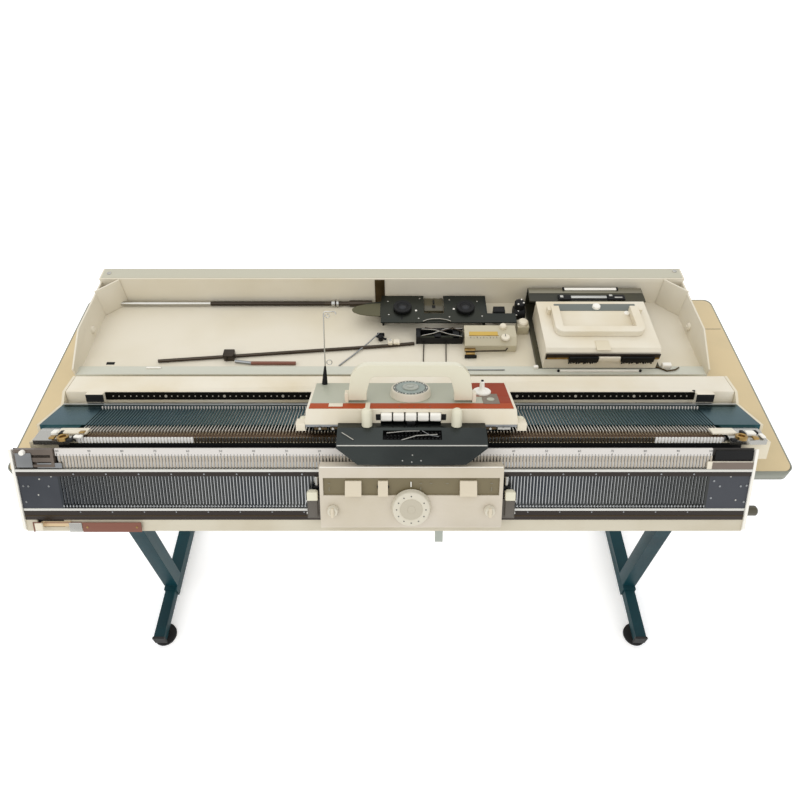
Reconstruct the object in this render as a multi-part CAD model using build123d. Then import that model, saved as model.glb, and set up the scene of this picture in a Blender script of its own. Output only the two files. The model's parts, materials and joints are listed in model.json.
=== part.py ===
from build123d import *
import math
import os

# A hand knitting machine: a main needle bed, a ribber in front of it, one carriage over both,
# clamped to its own table, with the machine's lid lying behind it as a tray for the accessories.
# X runs along the beds, Y from the knitter to the back and Z up. The origin is on the floor
# under the middle of the whole machine. Lengths are in millimetres.

# Needles and their slots
needle_count = 200
needle_pitch = 4.5
needle_thickness = 1.2
needle_height = 3.4
slot_clearance = 0.8
slot_width = needle_thickness + slot_clearance
slot_depth = 5.0
row_length = needle_count * needle_pitch

# Clearances
running_gap = 0.3
shaft_clearance = 0.05

# Table and stand
table_length = 1200.0
table_front = -146.0
table_rear = 255.7
table_top_height = 690.0
table_thickness = 20.0
table_corner = 30.0
edge_band = 2.0
post_size = 32.0
post_x = 553.0
post_y = -20.0
floor_bar_size = 30.0
floor_bar_rear = 205.0
floor_bar_front = -46.0
floor_bar_underside = 14.0
bar_wall = 2.5
foot_bar_front = -158.0
foot_bar_overlap = 70.0
top_bar_size = 25.0
top_bar_front = -120.0
top_bar_rear = 225.0
end_cap_length = 5.0
pad_radius = 26.0
pad_height = 9.0
pad_nut_radius = 12.0
pad_front = -138.0
pad_rear = 185.0
stud_radius = 5.0
stretcher_size = 25.0
stretcher_drop = 150.0

# Main bed, in its own frame: y runs back along the needles from the bed's front edge, z is square to it
bed_edge_y = -127.0
bed_rise = 92.0
bed_tilt = 25.0
bed_length = 1029.0
bed_depth = 71.0
bed_thickness = 9.0
needle_tip = -17.0
needle_tail = 62.0
strip_depth = 7.0
strip_height = 2.0
gate_bar_depth = 26.0
gate_bar_top = -7.0
gate_bar_height = 7.0
case_end_wall = 4.0
belt_wall_y = 82.0
belt_wall_top = 16.0
rear_cover_end = 121.0
rear_cover_rise = 25.9
rear_cover_wall = 3.0
rear_cover_skirt = -30.0
belt_length = 906.0
belt_height = 12.0
belt_thickness = 1.5
belt_block_length = 27.0
hook_bracket_length = 51.0
hook_bracket_end = 6.5
gate_bar_gap = 2.5
hook_bracket_depth = 34.0
hook_bracket_height = 11.0

# Ribber, in its own frame: y runs up the slope along the needles, z is square to it
ribber_edge_y = -170.0
ribber_rise = 110.0
ribber_slope = 58.0
ribber_racked = -22.5
ribber_length = 1024.0
ribber_top = -11.0
ribber_bed_top = -40.0
ribber_bed_bottom = -100.7
ribber_bed_thickness = 8.0
number_strip_depth = 10.5
strip_thickness = 3.0
upper_rail_depth = 10.8
upper_rail_height = 2.5
lower_rail_bottom = -111.5
lower_rail_height = 0.5
base_thickness = 18.0
base_lip = 3.0
base_taper = 9.0
base_taper_length = 39.0
skirt_bottom = -136.7
skirt_wall = 2.5
cheek_thickness = 4.0
catch_height = 3.5
catch_inset = 4.0
catch_slot_pitch = 10.0
catch_slot_width = 4.0
needle_tip_gap = 1.0
ribber_needle_tail = -99.5
recess_length = 52.0
recess_height = 12.0
crank_pivot_inset = 65.5
crank_length = 36.0
crank_width = 7.0
crank_thickness = 2.5
crank_pin_radius = 2.5
crank_knob_height = 5.0
half_pitch_x = 55.7
half_pitch_width = 11.0
half_pitch_travel = 8.0
half_pitch_drop = 19.0
end_knob_radius = 7.5
end_knob_length = 22.0
end_knob_nose = 3.0
end_knob_shaft = 3.0
end_knob_reach = 18.0
end_knob_y = -112.0
end_knob_z = -14.5

# Carriage over the main bed, in the main bed's frame
cover_left = -127.7
cover_right = 158.7
cover_front = -31.0
cover_rear = 63.0
cover_top = 38.0
cover_wall = 2.5
cover_draft = 3.0
plate_left = -130.0
plate_right = 161.0
plate_front = -31.0
plate_rear = 63.0
plate_top = 16.0
plate_thickness = 4.0
skid_width = 6.0
skid_front = 1.0
skid_rear = 61.0
shoe_length = 12.0
shoe_front = -33.0
shoe_depth = 16.0
shoe_bottom = 7.0
button_count = 5
button_width = 15.0
button_pitch = 16.7
button_middle = 14.9
button_front = -36.0
button_rear = -20.0
button_bottom = 22.0
button_top = 34.0
button_travel = 3.5
thumb_radius = 7.2
thumb_left_x = -44.8
thumb_right_x = 76.7
thumb_y = -39.5
thumb_top = 44.0
thumb_shank = 3.0
dial_x = 15.1
dial_y = 19.7
dial_radius = 29.3
dial_top_radius = 27.0
dial_height = 11.5
dial_hub_radius = 9.0
dial_hub_height = 2.5
dial_shaft = 5.0
change_x = 117.6
change_y = 26.0
change_radius = 13.0
change_height = 4.0
change_stem = 3.5
change_stem_height = 20.0
handle_left = -71.3
handle_right = 100.1
handle_top_inset = 6.0
handle_y = -2.0
handle_rise = 56.0
handle_post = 25.0
handle_bar = 17.0
handle_depth = 14.0
handle_corner = 26.0
handle_pin = 3.0
handle_pivot_height = 9.0
handle_heel = 5.0
handle_ear = 5.0

# Arm that joins the two carriages: a folded plate over the gap between the beds
arm_left = -84.5
arm_right = 116.2
arm_thickness = 2.0
arm_flange_rear = -9.0
arm_bend_reach = 5.5
arm_leaf_length = 29.4
arm_tip_up = -25.0
arm_tip_out = 23.0
arm_corner_run = 30.0
arm_window_left = -23.0
arm_window_right = 56.0
arm_window_setback = 4.0
arm_window_depth = 16.0
brush_drop = 6.0
brush_tray_height = 6.0
brush_lip = 2.0

# Carriage over the ribber, in the ribber's frame
rib_cover_middle = 15.3
rib_cover_width = 249.0
rib_cover_top = -28.6
rib_cover_bottom = -120.0
rib_cover_height = 22.0
rib_cover_base = 4.0
rib_plate_top = -53.0
rib_plate_bottom = -112.0
rib_plate_underside = 1.0
band_inset = 5.0
band_top = -44.7
band_bottom = -70.6
band_plate = 2.0
band_margin = 2.0
switch_lefts = (-74.2, -29.7, 80.9)
switch_widths = (22.0, 13.4, 23.0)
switch_top = -49.0
switch_bottom = -69.0
switch_height = 9.0
switch_travel = 6.0
switch_stem = 4.0
rib_dial_y = -87.6
rib_dial_radius = 27.0
rib_dial_top_radius = 24.5
rib_dial_height = 9.0
rib_dial_shaft = 4.0
rib_knob_inset = 17.5
rib_knob_y = -91.7
rib_knob_radius = 7.5
rib_knob_height = 9.0
rib_knob_stem = 3.0
side_block_width = 19.0
side_block_top = -80.7
side_block_bottom = -109.8
side_block_height = 13.0
side_lever_top = -67.0
side_lever_width = 13.0
side_lever_travel = 5.0
side_lever_height = 14.0

# Table clamps
clamp_x = 430.0
clamp_width = 12.0
clamp_heel = 86.0
clamp_toe = 4.0
clamp_shelf_top = -64.0
clamp_shelf_bottom = -96.0
clamp_jaw_reach = 40.0
clamp_screw_inset = 26.0
clamp_jaw_drop = 50.0
clamp_jaw_thickness = 8.0
clamp_web = 12.0
clamp_screw_radius = 5.0
clamp_screw_reach = 10.0
clamp_wing_length = 34.0
clamp_wing_height = 14.0

# Lid lying open behind the machine, and what lies in it
lid_middle = -15.0
lid_width = 1060.0
lid_front = 45.0
lid_rear = 222.0
lid_stand = 20.0
lid_wall = 3.0
lid_side_rise = 50.0
lid_side_front_rise = 18.0
lid_side_step = 97.0
lid_rim_rise = 57.0
lid_rim_rear = 252.0
lid_rim_drop = 12.0
lid_skirt_inset = 14.0
rod_radius = 4.0
rod_y = 214.0
rod_left = -528.0
rod_right = -52.0
ferrule_radius = 6.0
ferrule_length = 42.0
bent_rod_start = (-414.0, 67.0)
bent_rod_knee = (-16.0, 105.0)
bent_rod_end = (25.0, 110.5)
bent_rod_radius = 3.0
rod_clamp = (-302.0, -285.0, 70.0, 86.0)
rod_clamp_height = 12.0
arm_plate_rise = 24.0
arm_plate_thickness = 2.0
arm_plate_lefts = (-34.0, 79.0)
arm_plate_width = 77.0
arm_plate_front = 140.0
arm_plate_rear = 212.0
arm_neck_depth = 24.0
arm_foot = 4.0
arm_foot_inset = 20.0
arm_blade_tip = -86.0
arm_tail_end = 206.0
wheel_radius = 16.5
wheel_height = 7.0
wheel_pin = 3.0
tail_block = (168.0, 188.0, 166.0, 180.0)
tail_block_height = 28.0
roller_x = 206.0
roller_y = 182.0
roller_radius = 12.0
roller_length = 20.0
spring_frame = (29.0, 110.0, 112.0, 134.0)
spring_frame_height = 17.0
spring_frame_wall = 4.0
tension_left = 112.0
tension_width = 90.0
tension_front = 92.0
tension_depth = 42.0
tension_height = 25.0
tension_foot = (112.0, 130.0, 79.0)
tension_foot_height = 8.0
tension_knob = (208.0, 229.0, 136.0, 156.0)
tension_knob_height = 18.0
spare_left = 240.0
spare_width = 190.0
spare_front = 46.0
spare_depth = 124.0
spare_height = 48.0
spare_wall = 3.0
spare_plate_overhang = 8.0
spare_plate_rear = 214.0
spare_strip_front = 178.0
spare_strip_rise = 42.0
spare_sheet = 3.0
spare_handle_width = 150.0
spare_handle_reach = 60.0
spare_handle_bar = 14.0
spare_handle_thickness = 12.0
spare_handle_pin = 2.5
spare_handle_y = 140.0
spare_ear = 6.0

# Heights that follow from those above
bed_edge_z = table_top_height + bed_rise
ribber_edge_z = table_top_height + ribber_rise
lid_floor = table_top_height + lid_stand
lid_side_height = lid_floor + lid_side_rise
lid_side_front_height = lid_floor + lid_side_front_rise
lid_rim_height = lid_floor + lid_rim_rise
arm_plate_z = lid_floor + arm_plate_rise
strip_bottom = ribber_top - number_strip_depth
upper_rail_bottom = ribber_bed_top - upper_rail_depth
ribber_needle_tip = strip_bottom - needle_tip_gap
band_left = rib_cover_middle - rib_cover_width / 2 + band_inset
band_right = rib_cover_middle + rib_cover_width / 2 - band_inset
rib_knob_left = rib_cover_middle - rib_cover_width / 2 + rib_knob_inset
rib_knob_right = rib_cover_middle + rib_cover_width / 2 - rib_knob_inset

# Flats round the hand-holds, which are ribbed for the fingers
dial_flats = 36
knob_flats = 12

# Frames that the two beds are built in
bed_frame = Location((0, bed_edge_y, bed_edge_z), (-bed_tilt, 0, 0))
rib_frame = Location((0, ribber_edge_y, ribber_edge_z), (ribber_slope, 0, 0))


def block(x0, x1, y0, y1, z0, z1):
    """A box between two corners."""
    centre = Pos((x0 + x1) / 2, (y0 + y1) / 2, (z0 + z1) / 2)
    return centre * Box(x1 - x0, y1 - y0, z1 - z0)


def along_x(outline, x0, x1):
    """A bar of constant section between x0 and x1: the outline is a list of (y, z) corners."""
    wire = Polyline([(x0, y, z) for y, z in outline], close=True)
    return extrude(make_face(wire), amount=x1 - x0, dir=(1, 0, 0))


def along_y(outline, y0, y1):
    """A bar of constant section between y0 and y1: the outline is a list of (x, z) corners."""
    wire = Polyline([(x, y0, z) for x, z in outline], close=True)
    return extrude(make_face(wire), amount=y1 - y0, dir=(0, 1, 0))


def upright(x, y, z0, z1, radius):
    """A round pin standing between two heights."""
    return Pos(x, y, (z0 + z1) / 2) * Cylinder(radius, z1 - z0)


def turned(outline):
    """A body turned about Z from a list of (radius, z) corners."""
    wire = Polyline([(r, 0, z) for r, z in outline], close=True)
    return revolve(make_face(wire), axis=Axis.Z)


def grip(x, y, z0, z1, radius, flats, end_radius=None):
    """A ribbed hand-hold with flats round it, straight or narrowing to its end."""
    taper = 0 if end_radius is None else math.degrees(math.atan((radius - end_radius) / (z1 - z0)))
    return Pos(x, y, z0) * extrude(RegularPolygon(radius, flats), amount=z1 - z0, taper=taper)


def group(*shapes):
    """Several solids that share a node."""
    return Compound([solid for shape in shapes for solid in shape.solids()])


def in_world(frame, y, z):
    """Where a (y, z) place of a bed's frame lies in the machine's own Y and Z."""
    place = frame * Pos(0, y, z)
    return place.position.Y, place.position.Z


def both_sides(make):
    """The same piece at the left and at the right."""
    return group(make(-1), make(1))


# Table and stand

def rounded_board(inset, thickness):
    """The table's outline, a little inside its edge, with its top at the table's height."""
    length = table_length - 2 * inset
    depth = table_rear - table_front - 2 * inset
    outline = RectangleRounded(length, depth, table_corner - inset)
    middle = (table_front + table_rear) / 2
    return Pos(0, middle, table_top_height - thickness) * extrude(outline, amount=thickness)


def table_top():
    return rounded_board(edge_band, table_thickness)


def table_edge_band():
    return rounded_board(0, table_thickness) - rounded_board(edge_band, table_thickness)


def leg_frame(side):
    """One welded leg: a bar on the floor, a post and a bar under the table."""
    x = side * post_x
    table_underside = table_top_height - table_thickness
    half_bar = floor_bar_size / 2
    bar_top = floor_bar_underside + floor_bar_size
    floor_bar = block(x - half_bar, x + half_bar, floor_bar_front, floor_bar_rear, floor_bar_underside, bar_top)
    inner = half_bar - bar_wall
    socket_end = floor_bar_front + foot_bar_overlap
    floor_bar -= block(
        x - inner, x + inner, floor_bar_front, socket_end, floor_bar_underside + bar_wall, bar_top - bar_wall
    )
    half_post = post_size / 2
    post = block(x - half_post, x + half_post, post_y - half_post, post_y + half_post, bar_top, table_underside)
    half_top = top_bar_size / 2
    top_bar = block(
        x - half_top, x + half_top, top_bar_front, top_bar_rear, table_underside - top_bar_size, table_underside
    )
    return floor_bar + post + top_bar


def foot_bar(side):
    """The narrower bar that slides into the floor bar and carries the front pad."""
    x = side * post_x
    half = floor_bar_size / 2 - bar_wall - running_gap
    middle = floor_bar_underside + floor_bar_size / 2
    rear = floor_bar_front + foot_bar_overlap - running_gap
    return block(x - half, x + half, foot_bar_front, rear, middle - half, middle + half)


def bar_caps(side):
    """Plastic caps on the two ends of the floor bar."""
    x = side * post_x
    half = floor_bar_size / 2
    middle = floor_bar_underside + half
    small = half - bar_wall + 1
    front = block(x - small, x + small, foot_bar_front - end_cap_length, foot_bar_front, middle - small, middle + small)
    rear = block(x - half, x + half, floor_bar_rear, floor_bar_rear + end_cap_length, middle - half, middle + half)
    return group(front, rear)


def levelling_pad(x, y, bar_underside):
    """A round pad on the floor, with a nut and a hexagonal stud up to the bar."""
    pad = upright(x, y, 0, pad_height * 0.6, pad_radius)
    pad += grip(x, y, pad_height * 0.6, pad_height, pad_nut_radius, 6)
    return pad + grip(x, y, pad_height, bar_underside, stud_radius, 6)


def levelling_pads():
    foot_underside = floor_bar_underside + bar_wall + running_gap
    pads = []
    for side in (-1, 1):
        pads.append(levelling_pad(side * post_x, pad_front, foot_underside))
        pads.append(levelling_pad(side * post_x, pad_rear, floor_bar_underside))
    return group(*pads)


def stretcher():
    """The tube that ties the two posts together."""
    reach = post_x - post_size / 2
    half = stretcher_size / 2
    height = table_top_height - stretcher_drop
    return block(-reach, reach, post_y - half, post_y + half, height - half, height + half)


# Main machine

def slotted_bed(length, thickness, y0, y1):
    """A bed plate with one slot for each needle, cut as a comb across it."""
    outline = [(-length / 2, -thickness), (-length / 2, 0)]
    for i in range(needle_count):
        middle = (i - (needle_count - 1) / 2) * needle_pitch
        left = middle - slot_width / 2
        right = middle + slot_width / 2
        outline += [(left, 0), (left, -slot_depth), (right, -slot_depth), (right, 0)]
    outline += [(length / 2, 0), (length / 2, -thickness)]
    return along_y(outline, y0, y1)


def needle_row(y0, y1):
    """The needle stems, each standing on the floor of its slot."""
    stems = []
    for i in range(needle_count):
        middle = (i - (needle_count - 1) / 2) * needle_pitch
        half = needle_thickness / 2
        stems.append(block(middle - half, middle + half, y0, y1, -slot_depth, needle_height - slot_depth))
    return group(*stems)


def case_outline():
    """The underside rises to the front, so that the tilted case rests on the table at its back."""
    tilt = math.radians(bed_tilt)
    drop = (bed_edge_z - table_top_height - rear_cover_end * math.sin(tilt)) / math.cos(tilt)
    front = -gate_bar_depth
    gate_floor = gate_bar_top - gate_bar_height
    return [
        (front, gate_floor), (0, gate_floor), (0, -bed_thickness), (rear_cover_end, -bed_thickness),
        (rear_cover_end, -drop), (front, -drop + 4),
    ]


def main_case():
    """The casing under the main bed, with its two end walls."""
    half = bed_length / 2
    body = along_x(case_outline(), -half, half)
    end_outline = [
        (0, -bed_thickness), (0, 0), (bed_depth, 0), (belt_wall_y, belt_wall_top),
        (rear_cover_end, rear_cover_rise), (rear_cover_end, -bed_thickness),
    ] + case_outline()[4:] + case_outline()[:2]
    ends = both_sides(lambda side: along_x(
        end_outline, min(side * half, side * (half + case_end_wall)), max(side * half, side * (half + case_end_wall))
    ))
    return body + ends.solids()[0] + ends.solids()[1]


def rear_cover():
    """The moulded cover behind the bed: the belt's wall, a sloping top and a skirt down the back."""
    wall = rear_cover_wall
    outline = [
        (belt_wall_y, -bed_thickness), (belt_wall_y, belt_wall_top), (rear_cover_end, rear_cover_rise),
        (rear_cover_end + wall, rear_cover_rise - wall), (rear_cover_end + wall, rear_cover_skirt),
        (rear_cover_end, rear_cover_skirt), (rear_cover_end, rear_cover_rise - wall),
        (belt_wall_y + wall, belt_wall_top - wall), (belt_wall_y + wall, -bed_thickness),
    ]
    cover = along_x(outline, -bed_length / 2, bed_length / 2)
    return cover + belt_block(-1) + belt_block(1)


def pattern_belt():
    """The punched belt that runs on edge behind the needles."""
    top = belt_wall_top - 1
    return block(-belt_length / 2, belt_length / 2, belt_wall_y - belt_thickness, belt_wall_y, top - belt_height, top)


def belt_block(side):
    """The housing of the belt's pulley at one end."""
    near = side * belt_length / 2
    far = side * (belt_length / 2 + belt_block_length)
    return block(min(near, far), max(near, far), bed_depth + 1, belt_wall_y, -bed_thickness, belt_wall_top)


def bed_strips():
    """The strip over the needles' tails and the bar under their hooks."""
    tails = block(-row_length / 2, row_length / 2, bed_depth - strip_depth, bed_depth, 0, strip_height)
    half = bed_length / 2 - hook_bracket_end - hook_bracket_length - gate_bar_gap
    hooks = block(-half, half, -gate_bar_depth, 0, gate_bar_top - gate_bar_height, gate_bar_top)
    return group(tails, hooks)


def hook_brackets(side):
    """The steel bracket at each end of the gap between the beds, which the ribber hooks on."""
    outer = side * (bed_length / 2 - hook_bracket_end)
    inner = outer - side * hook_bracket_length
    x0 = min(inner, outer)
    x1 = max(inner, outer)
    floor = gate_bar_top - gate_bar_height
    outline = [
        (0, floor), (0, floor + hook_bracket_height), (-hook_bracket_depth * 0.4, floor + hook_bracket_height),
        (-hook_bracket_depth, floor + hook_bracket_height * 0.6), (-hook_bracket_depth, floor),
    ]
    return along_x(outline, x0, x1)


# Table clamps

def table_clamp(side):
    """A steel clamp round the table's front edge, which carries the case and the ribber's back."""
    x = side * clamp_x
    underside = case_outline()
    case_rear = in_world(bed_frame, *underside[4])
    case_front = in_world(bed_frame, *underside[5])
    rise = (case_front[1] - case_rear[1]) / (case_front[0] - case_rear[0])
    heel = table_front + clamp_heel
    toe = table_front - clamp_toe
    back = -base_thickness - ribber_bed_thickness - running_gap
    shelf_top = in_world(rib_frame, clamp_shelf_top, back)
    shelf_bottom = in_world(rib_frame, clamp_shelf_bottom, back)
    web_front = table_front - clamp_web
    jaw_top = table_top_height - clamp_jaw_drop + clamp_jaw_thickness
    jaw_bottom = table_top_height - clamp_jaw_drop
    jaw_rear = table_front + clamp_jaw_reach
    outline = [
        (heel, table_top_height), (heel, case_rear[1] + rise * (heel - case_rear[0])),
        (toe, case_rear[1] + rise * (toe - case_rear[0])), shelf_top, shelf_bottom,
        (web_front, shelf_bottom[1]), (web_front, jaw_bottom), (jaw_rear, jaw_bottom), (jaw_rear, jaw_top),
        (table_front, jaw_top), (table_front, table_top_height),
    ]
    frame = along_x(outline, x - clamp_width / 2, x + clamp_width / 2)
    screw_y = table_front + clamp_screw_inset
    frame -= upright(x, screw_y, jaw_bottom, jaw_top, clamp_screw_radius)
    table_underside = table_top_height - table_thickness
    knob_top = jaw_bottom - clamp_screw_reach
    screw = upright(x, screw_y, knob_top, table_underside, clamp_screw_radius)
    wing = clamp_wing_length / 2
    screw += block(
        x - wing, x + wing, screw_y - clamp_screw_radius / 2, screw_y + clamp_screw_radius / 2,
        knob_top - clamp_wing_height, knob_top
    )
    return group(frame, screw)


# Ribber

def rib_x(x):
    """A place along the ribber, which stands racked to one side of the main bed."""
    return ribber_racked + x


def ribber_back():
    """The back of the casting, which thins towards the ribber's top edge."""
    back = -ribber_bed_thickness - base_thickness
    return [
        (ribber_top - base_taper - base_taper_length, back),
        (ribber_top - base_taper, -strip_thickness - base_lip - base_taper),
        (ribber_top - base_lip, -strip_thickness - base_lip),
    ]


def ribber_base():
    """The casting behind the ribber's bed."""
    floor = -ribber_bed_thickness
    back = floor - base_thickness
    end = skirt_bottom + skirt_wall
    outline = [
        (ribber_top, -strip_thickness), (strip_bottom, -strip_thickness), (strip_bottom, floor), (end, floor),
        (end, back),
    ] + ribber_back()
    half = ribber_length / 2 - cheek_thickness
    base = along_x(outline, rib_x(-half), rib_x(half))
    knob_hole = Rot(0, 90, 0) * Cylinder(end_knob_shaft + shaft_clearance, 40)
    return base - Pos(rib_x(half), end_knob_y, end_knob_z) * knob_hole


def ribber_bed():
    comb = slotted_bed(row_length + needle_pitch, ribber_bed_thickness, ribber_bed_bottom, ribber_bed_top)
    return Pos(ribber_racked, 0, 0) * comb


def number_strip():
    half = row_length / 2
    return block(rib_x(-half), rib_x(half), strip_bottom, ribber_top, -strip_thickness, 0)


def ribber_rails():
    """The rail between the hooks and the bed, and the one below the needles' butts."""
    half = ribber_length / 2 - cheek_thickness
    upper = block(rib_x(-half), rib_x(half), upper_rail_bottom, ribber_bed_top, 0, upper_rail_height)
    lower = block(
        rib_x(-half), rib_x(half), lower_rail_bottom, ribber_bed_bottom, -ribber_bed_thickness, lower_rail_height
    )
    return group(upper, lower)


def ribber_end_plates(side):
    """The blank plate at each end of the slots."""
    inner = side * (row_length + needle_pitch) / 2
    outer = side * (ribber_length / 2 - cheek_thickness)
    low = min(inner, outer)
    high = max(inner, outer)
    return block(rib_x(low), rib_x(high), ribber_bed_bottom, ribber_bed_top, -ribber_bed_thickness, 0)


def ribber_cheek(side):
    """The white side wall of the ribber."""
    inner = side * (ribber_length / 2 - cheek_thickness)
    outer = side * ribber_length / 2
    back = -ribber_bed_thickness - base_thickness
    outline = [
        (ribber_top, upper_rail_height), (skirt_bottom + cheek_thickness, upper_rail_height),
        (skirt_bottom, upper_rail_height - cheek_thickness), (skirt_bottom, back),
    ] + ribber_back()
    cheek = along_x(outline, rib_x(min(inner, outer)), rib_x(max(inner, outer)))
    if side > 0:
        hole = Rot(0, 90, 0) * Cylinder(end_knob_shaft + shaft_clearance, 4 * cheek_thickness)
        cheek -= Pos(rib_x(inner), end_knob_y, end_knob_z) * hole
    return cheek


def crank_pivot():
    """The racking crank's axis, in the ribber's frame."""
    x = rib_x(-ribber_length / 2 + crank_pivot_inset)
    return x, (lower_rail_bottom + skirt_bottom) / 2


def ribber_skirt():
    """The cover under the ribber, with the crank's recess and the half-pitch lever's slot."""
    back = -ribber_bed_thickness - base_thickness
    inner = skirt_bottom + skirt_wall
    outline = [
        (lower_rail_bottom, 0), (skirt_bottom, 0), (skirt_bottom, back), (inner, back),
        (inner, -skirt_wall), (lower_rail_bottom, -skirt_wall),
    ]
    half = ribber_length / 2 - cheek_thickness
    skirt = along_x(outline, rib_x(-half), rib_x(half))
    x, y = crank_pivot()
    far = x - recess_length + crank_width
    recess = block(far, x - crank_width, y - recess_height / 2, y + recess_height / 2, -skirt_wall, 0)
    pivot_hole = upright(x, y, -skirt_wall, 0, crank_pin_radius + shaft_clearance)
    slot_half = half_pitch_width / 2 + half_pitch_travel + running_gap
    slot = block(
        half_pitch_x - slot_half, half_pitch_x + slot_half, skirt_bottom, inner,
        -ribber_bed_thickness + 0.1, -skirt_wall - 0.1
    )
    return skirt - recess - pivot_hole - slot


def ribber_corner_blocks():
    """The slotted catch at the left of the number strip and the bar at its right."""
    half = ribber_length / 2 - cheek_thickness
    row = row_length / 2
    floor = -ribber_bed_thickness
    top = catch_height
    left = rib_x(-half) + catch_inset
    right = rib_x(-row) - 1
    catch = block(left, right, ribber_bed_top + 3, strip_bottom, floor, top)
    catch += block(left, right, strip_bottom, ribber_top, -strip_thickness, top)
    for y in (ribber_top - catch_slot_pitch, ribber_top - 2 * catch_slot_pitch):
        catch -= block(left + 6, right - 4, y - catch_slot_width / 2, y + catch_slot_width / 2, top - 3, top)
    bar = block(rib_x(row) + 1, rib_x(half) - 1, ribber_bed_top, ribber_bed_top + catch_slot_pitch, floor, 3)
    return group(catch, bar)


def racking_crank():
    """The small crank that racks the ribber: a flat arm, a knob at its end and a pivot pin."""
    x, y = crank_pivot()
    low = running_gap + lower_rail_height
    high = low + crank_thickness
    half = crank_width / 2
    end = x - crank_length
    arm = block(end, x + half, y - half, y + half, low, high)
    arm += grip(end, y, low, high + crank_knob_height, half, knob_flats)
    return arm + upright(x, y, -skirt_wall - 2, low, crank_pin_radius)


def half_pitch_lever():
    """The lever that hangs below the skirt, with a shoe that runs inside it."""
    low = -ribber_bed_thickness + running_gap
    high = -skirt_wall - running_gap
    half = half_pitch_width / 2
    stem = block(half_pitch_x - half, half_pitch_x + half, skirt_bottom - half_pitch_drop, skirt_bottom + 12, low, high)
    shoe = block(half_pitch_x - half - 8, half_pitch_x + half + 8, skirt_bottom + 4, skirt_bottom + 12, low, high)
    return stem + shoe


def end_knob():
    """The ribbed knob on the ribber's right cheek, on a shaft into the base."""
    start = ribber_racked + ribber_length / 2 + running_gap
    shoulder = end_knob_length - end_knob_nose
    knob = grip(0, 0, 0, shoulder, end_knob_radius, knob_flats)
    knob += grip(0, 0, shoulder, end_knob_length, end_knob_radius, knob_flats, end_knob_radius - end_knob_nose)
    knob += upright(0, 0, -end_knob_reach, 0, end_knob_shaft)
    return Pos(start, end_knob_y, end_knob_z) * Rot(0, 90, 0) * knob


# Carriage over the main bed

def carriage_plate():
    """The steel plate that the cams hang from, on two skids along the bed."""
    low = plate_top - plate_thickness
    inner_skid = skid_rear - skid_width
    outline = [
        (plate_front, low), (skid_front, low), (skid_front, running_gap), (skid_front + skid_width, running_gap),
        (skid_front + skid_width, low), (inner_skid, low), (inner_skid, running_gap), (skid_rear, running_gap),
        (skid_rear, low), (plate_rear, low), (plate_rear, plate_top), (plate_front, plate_top),
    ]
    plate = along_x(outline, plate_left, plate_right)
    lug_half = thumb_radius + 3
    arm_bend = thumb_y - arm_bend_reach
    for x in (thumb_left_x, thumb_right_x):
        plate += block(x - lug_half, x + lug_half, arm_bend, plate_front, low, plate_top)
        plate -= upright(x, thumb_y, low, plate_top, thumb_shank + shaft_clearance)
    plate -= upright(dial_x, dial_y, low, plate_top, dial_shaft + shaft_clearance)
    return plate - upright(change_x, change_y, low, plate_top, change_stem + shaft_clearance)


def carriage_cover():
    """The moulded cover: a drafted shell, open below, with its holes, button notch and handle ears."""
    def body(inset, top):
        x0 = cover_left + inset
        x1 = cover_right - inset
        y0 = cover_front + inset
        y1 = cover_rear - inset
        sides = [(x0 - cover_draft, plate_top), (x0, top), (x1, top), (x1 + cover_draft, plate_top)]
        faces = [(y0 - 1, plate_top), (y0, top), (y1, top), (y1 + 1, plate_top)]
        return along_y(sides, y0 - 1, y1 + 1) & along_x(faces, x0 - cover_draft, x1 + cover_draft)
    shell = body(0, cover_top) - body(cover_wall, cover_top - cover_wall)
    floor = cover_top - cover_wall
    shell -= upright(dial_x, dial_y, floor, cover_top, dial_shaft + shaft_clearance)
    shell -= upright(change_x, change_y, floor, cover_top, change_stem + shaft_clearance)
    reach = (button_count - 1) / 2 * button_pitch + button_width / 2 + running_gap
    shell -= block(
        button_middle - reach, button_middle + reach, cover_front - 5, button_rear,
        button_bottom - button_travel - running_gap, button_top + running_gap
    )
    shell -= block(
        arm_left - running_gap, arm_right + running_gap, cover_front - 5, cover_front + cover_wall + 2,
        plate_top, plate_top + arm_thickness + running_gap
    )
    for side in (-1, 1):
        edge = (cover_left - cover_draft) if side < 0 else (cover_right + cover_draft)
        x0 = min(edge - side * 0.5, edge + side * shoe_length)
        x1 = max(edge - side * 0.5, edge + side * shoe_length)
        shell += block(x0, x1, shoe_front, shoe_front + shoe_depth, shoe_bottom, plate_top + 2)
    for ear_left in handle_ears():
        shell += handle_ear_block(ear_left)
    return shell


def handle_ears():
    """Where the two ears that hold the handle's pins begin, one outside each post."""
    return handle_left - running_gap - handle_ear, handle_right + running_gap


def handle_ear_block(left):
    """One ear on the cover, bored for the handle's pin."""
    top = cover_top + handle_pivot_height + handle_pin + 2
    half = handle_pin + 3
    ear = block(left, left + handle_ear, handle_y - half, handle_y + half, cover_top, top)
    bore = Rot(0, 90, 0) * Cylinder(handle_pin + shaft_clearance, handle_ear)
    return ear - Pos(left + handle_ear / 2, handle_y, cover_top + handle_pivot_height) * bore


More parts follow.
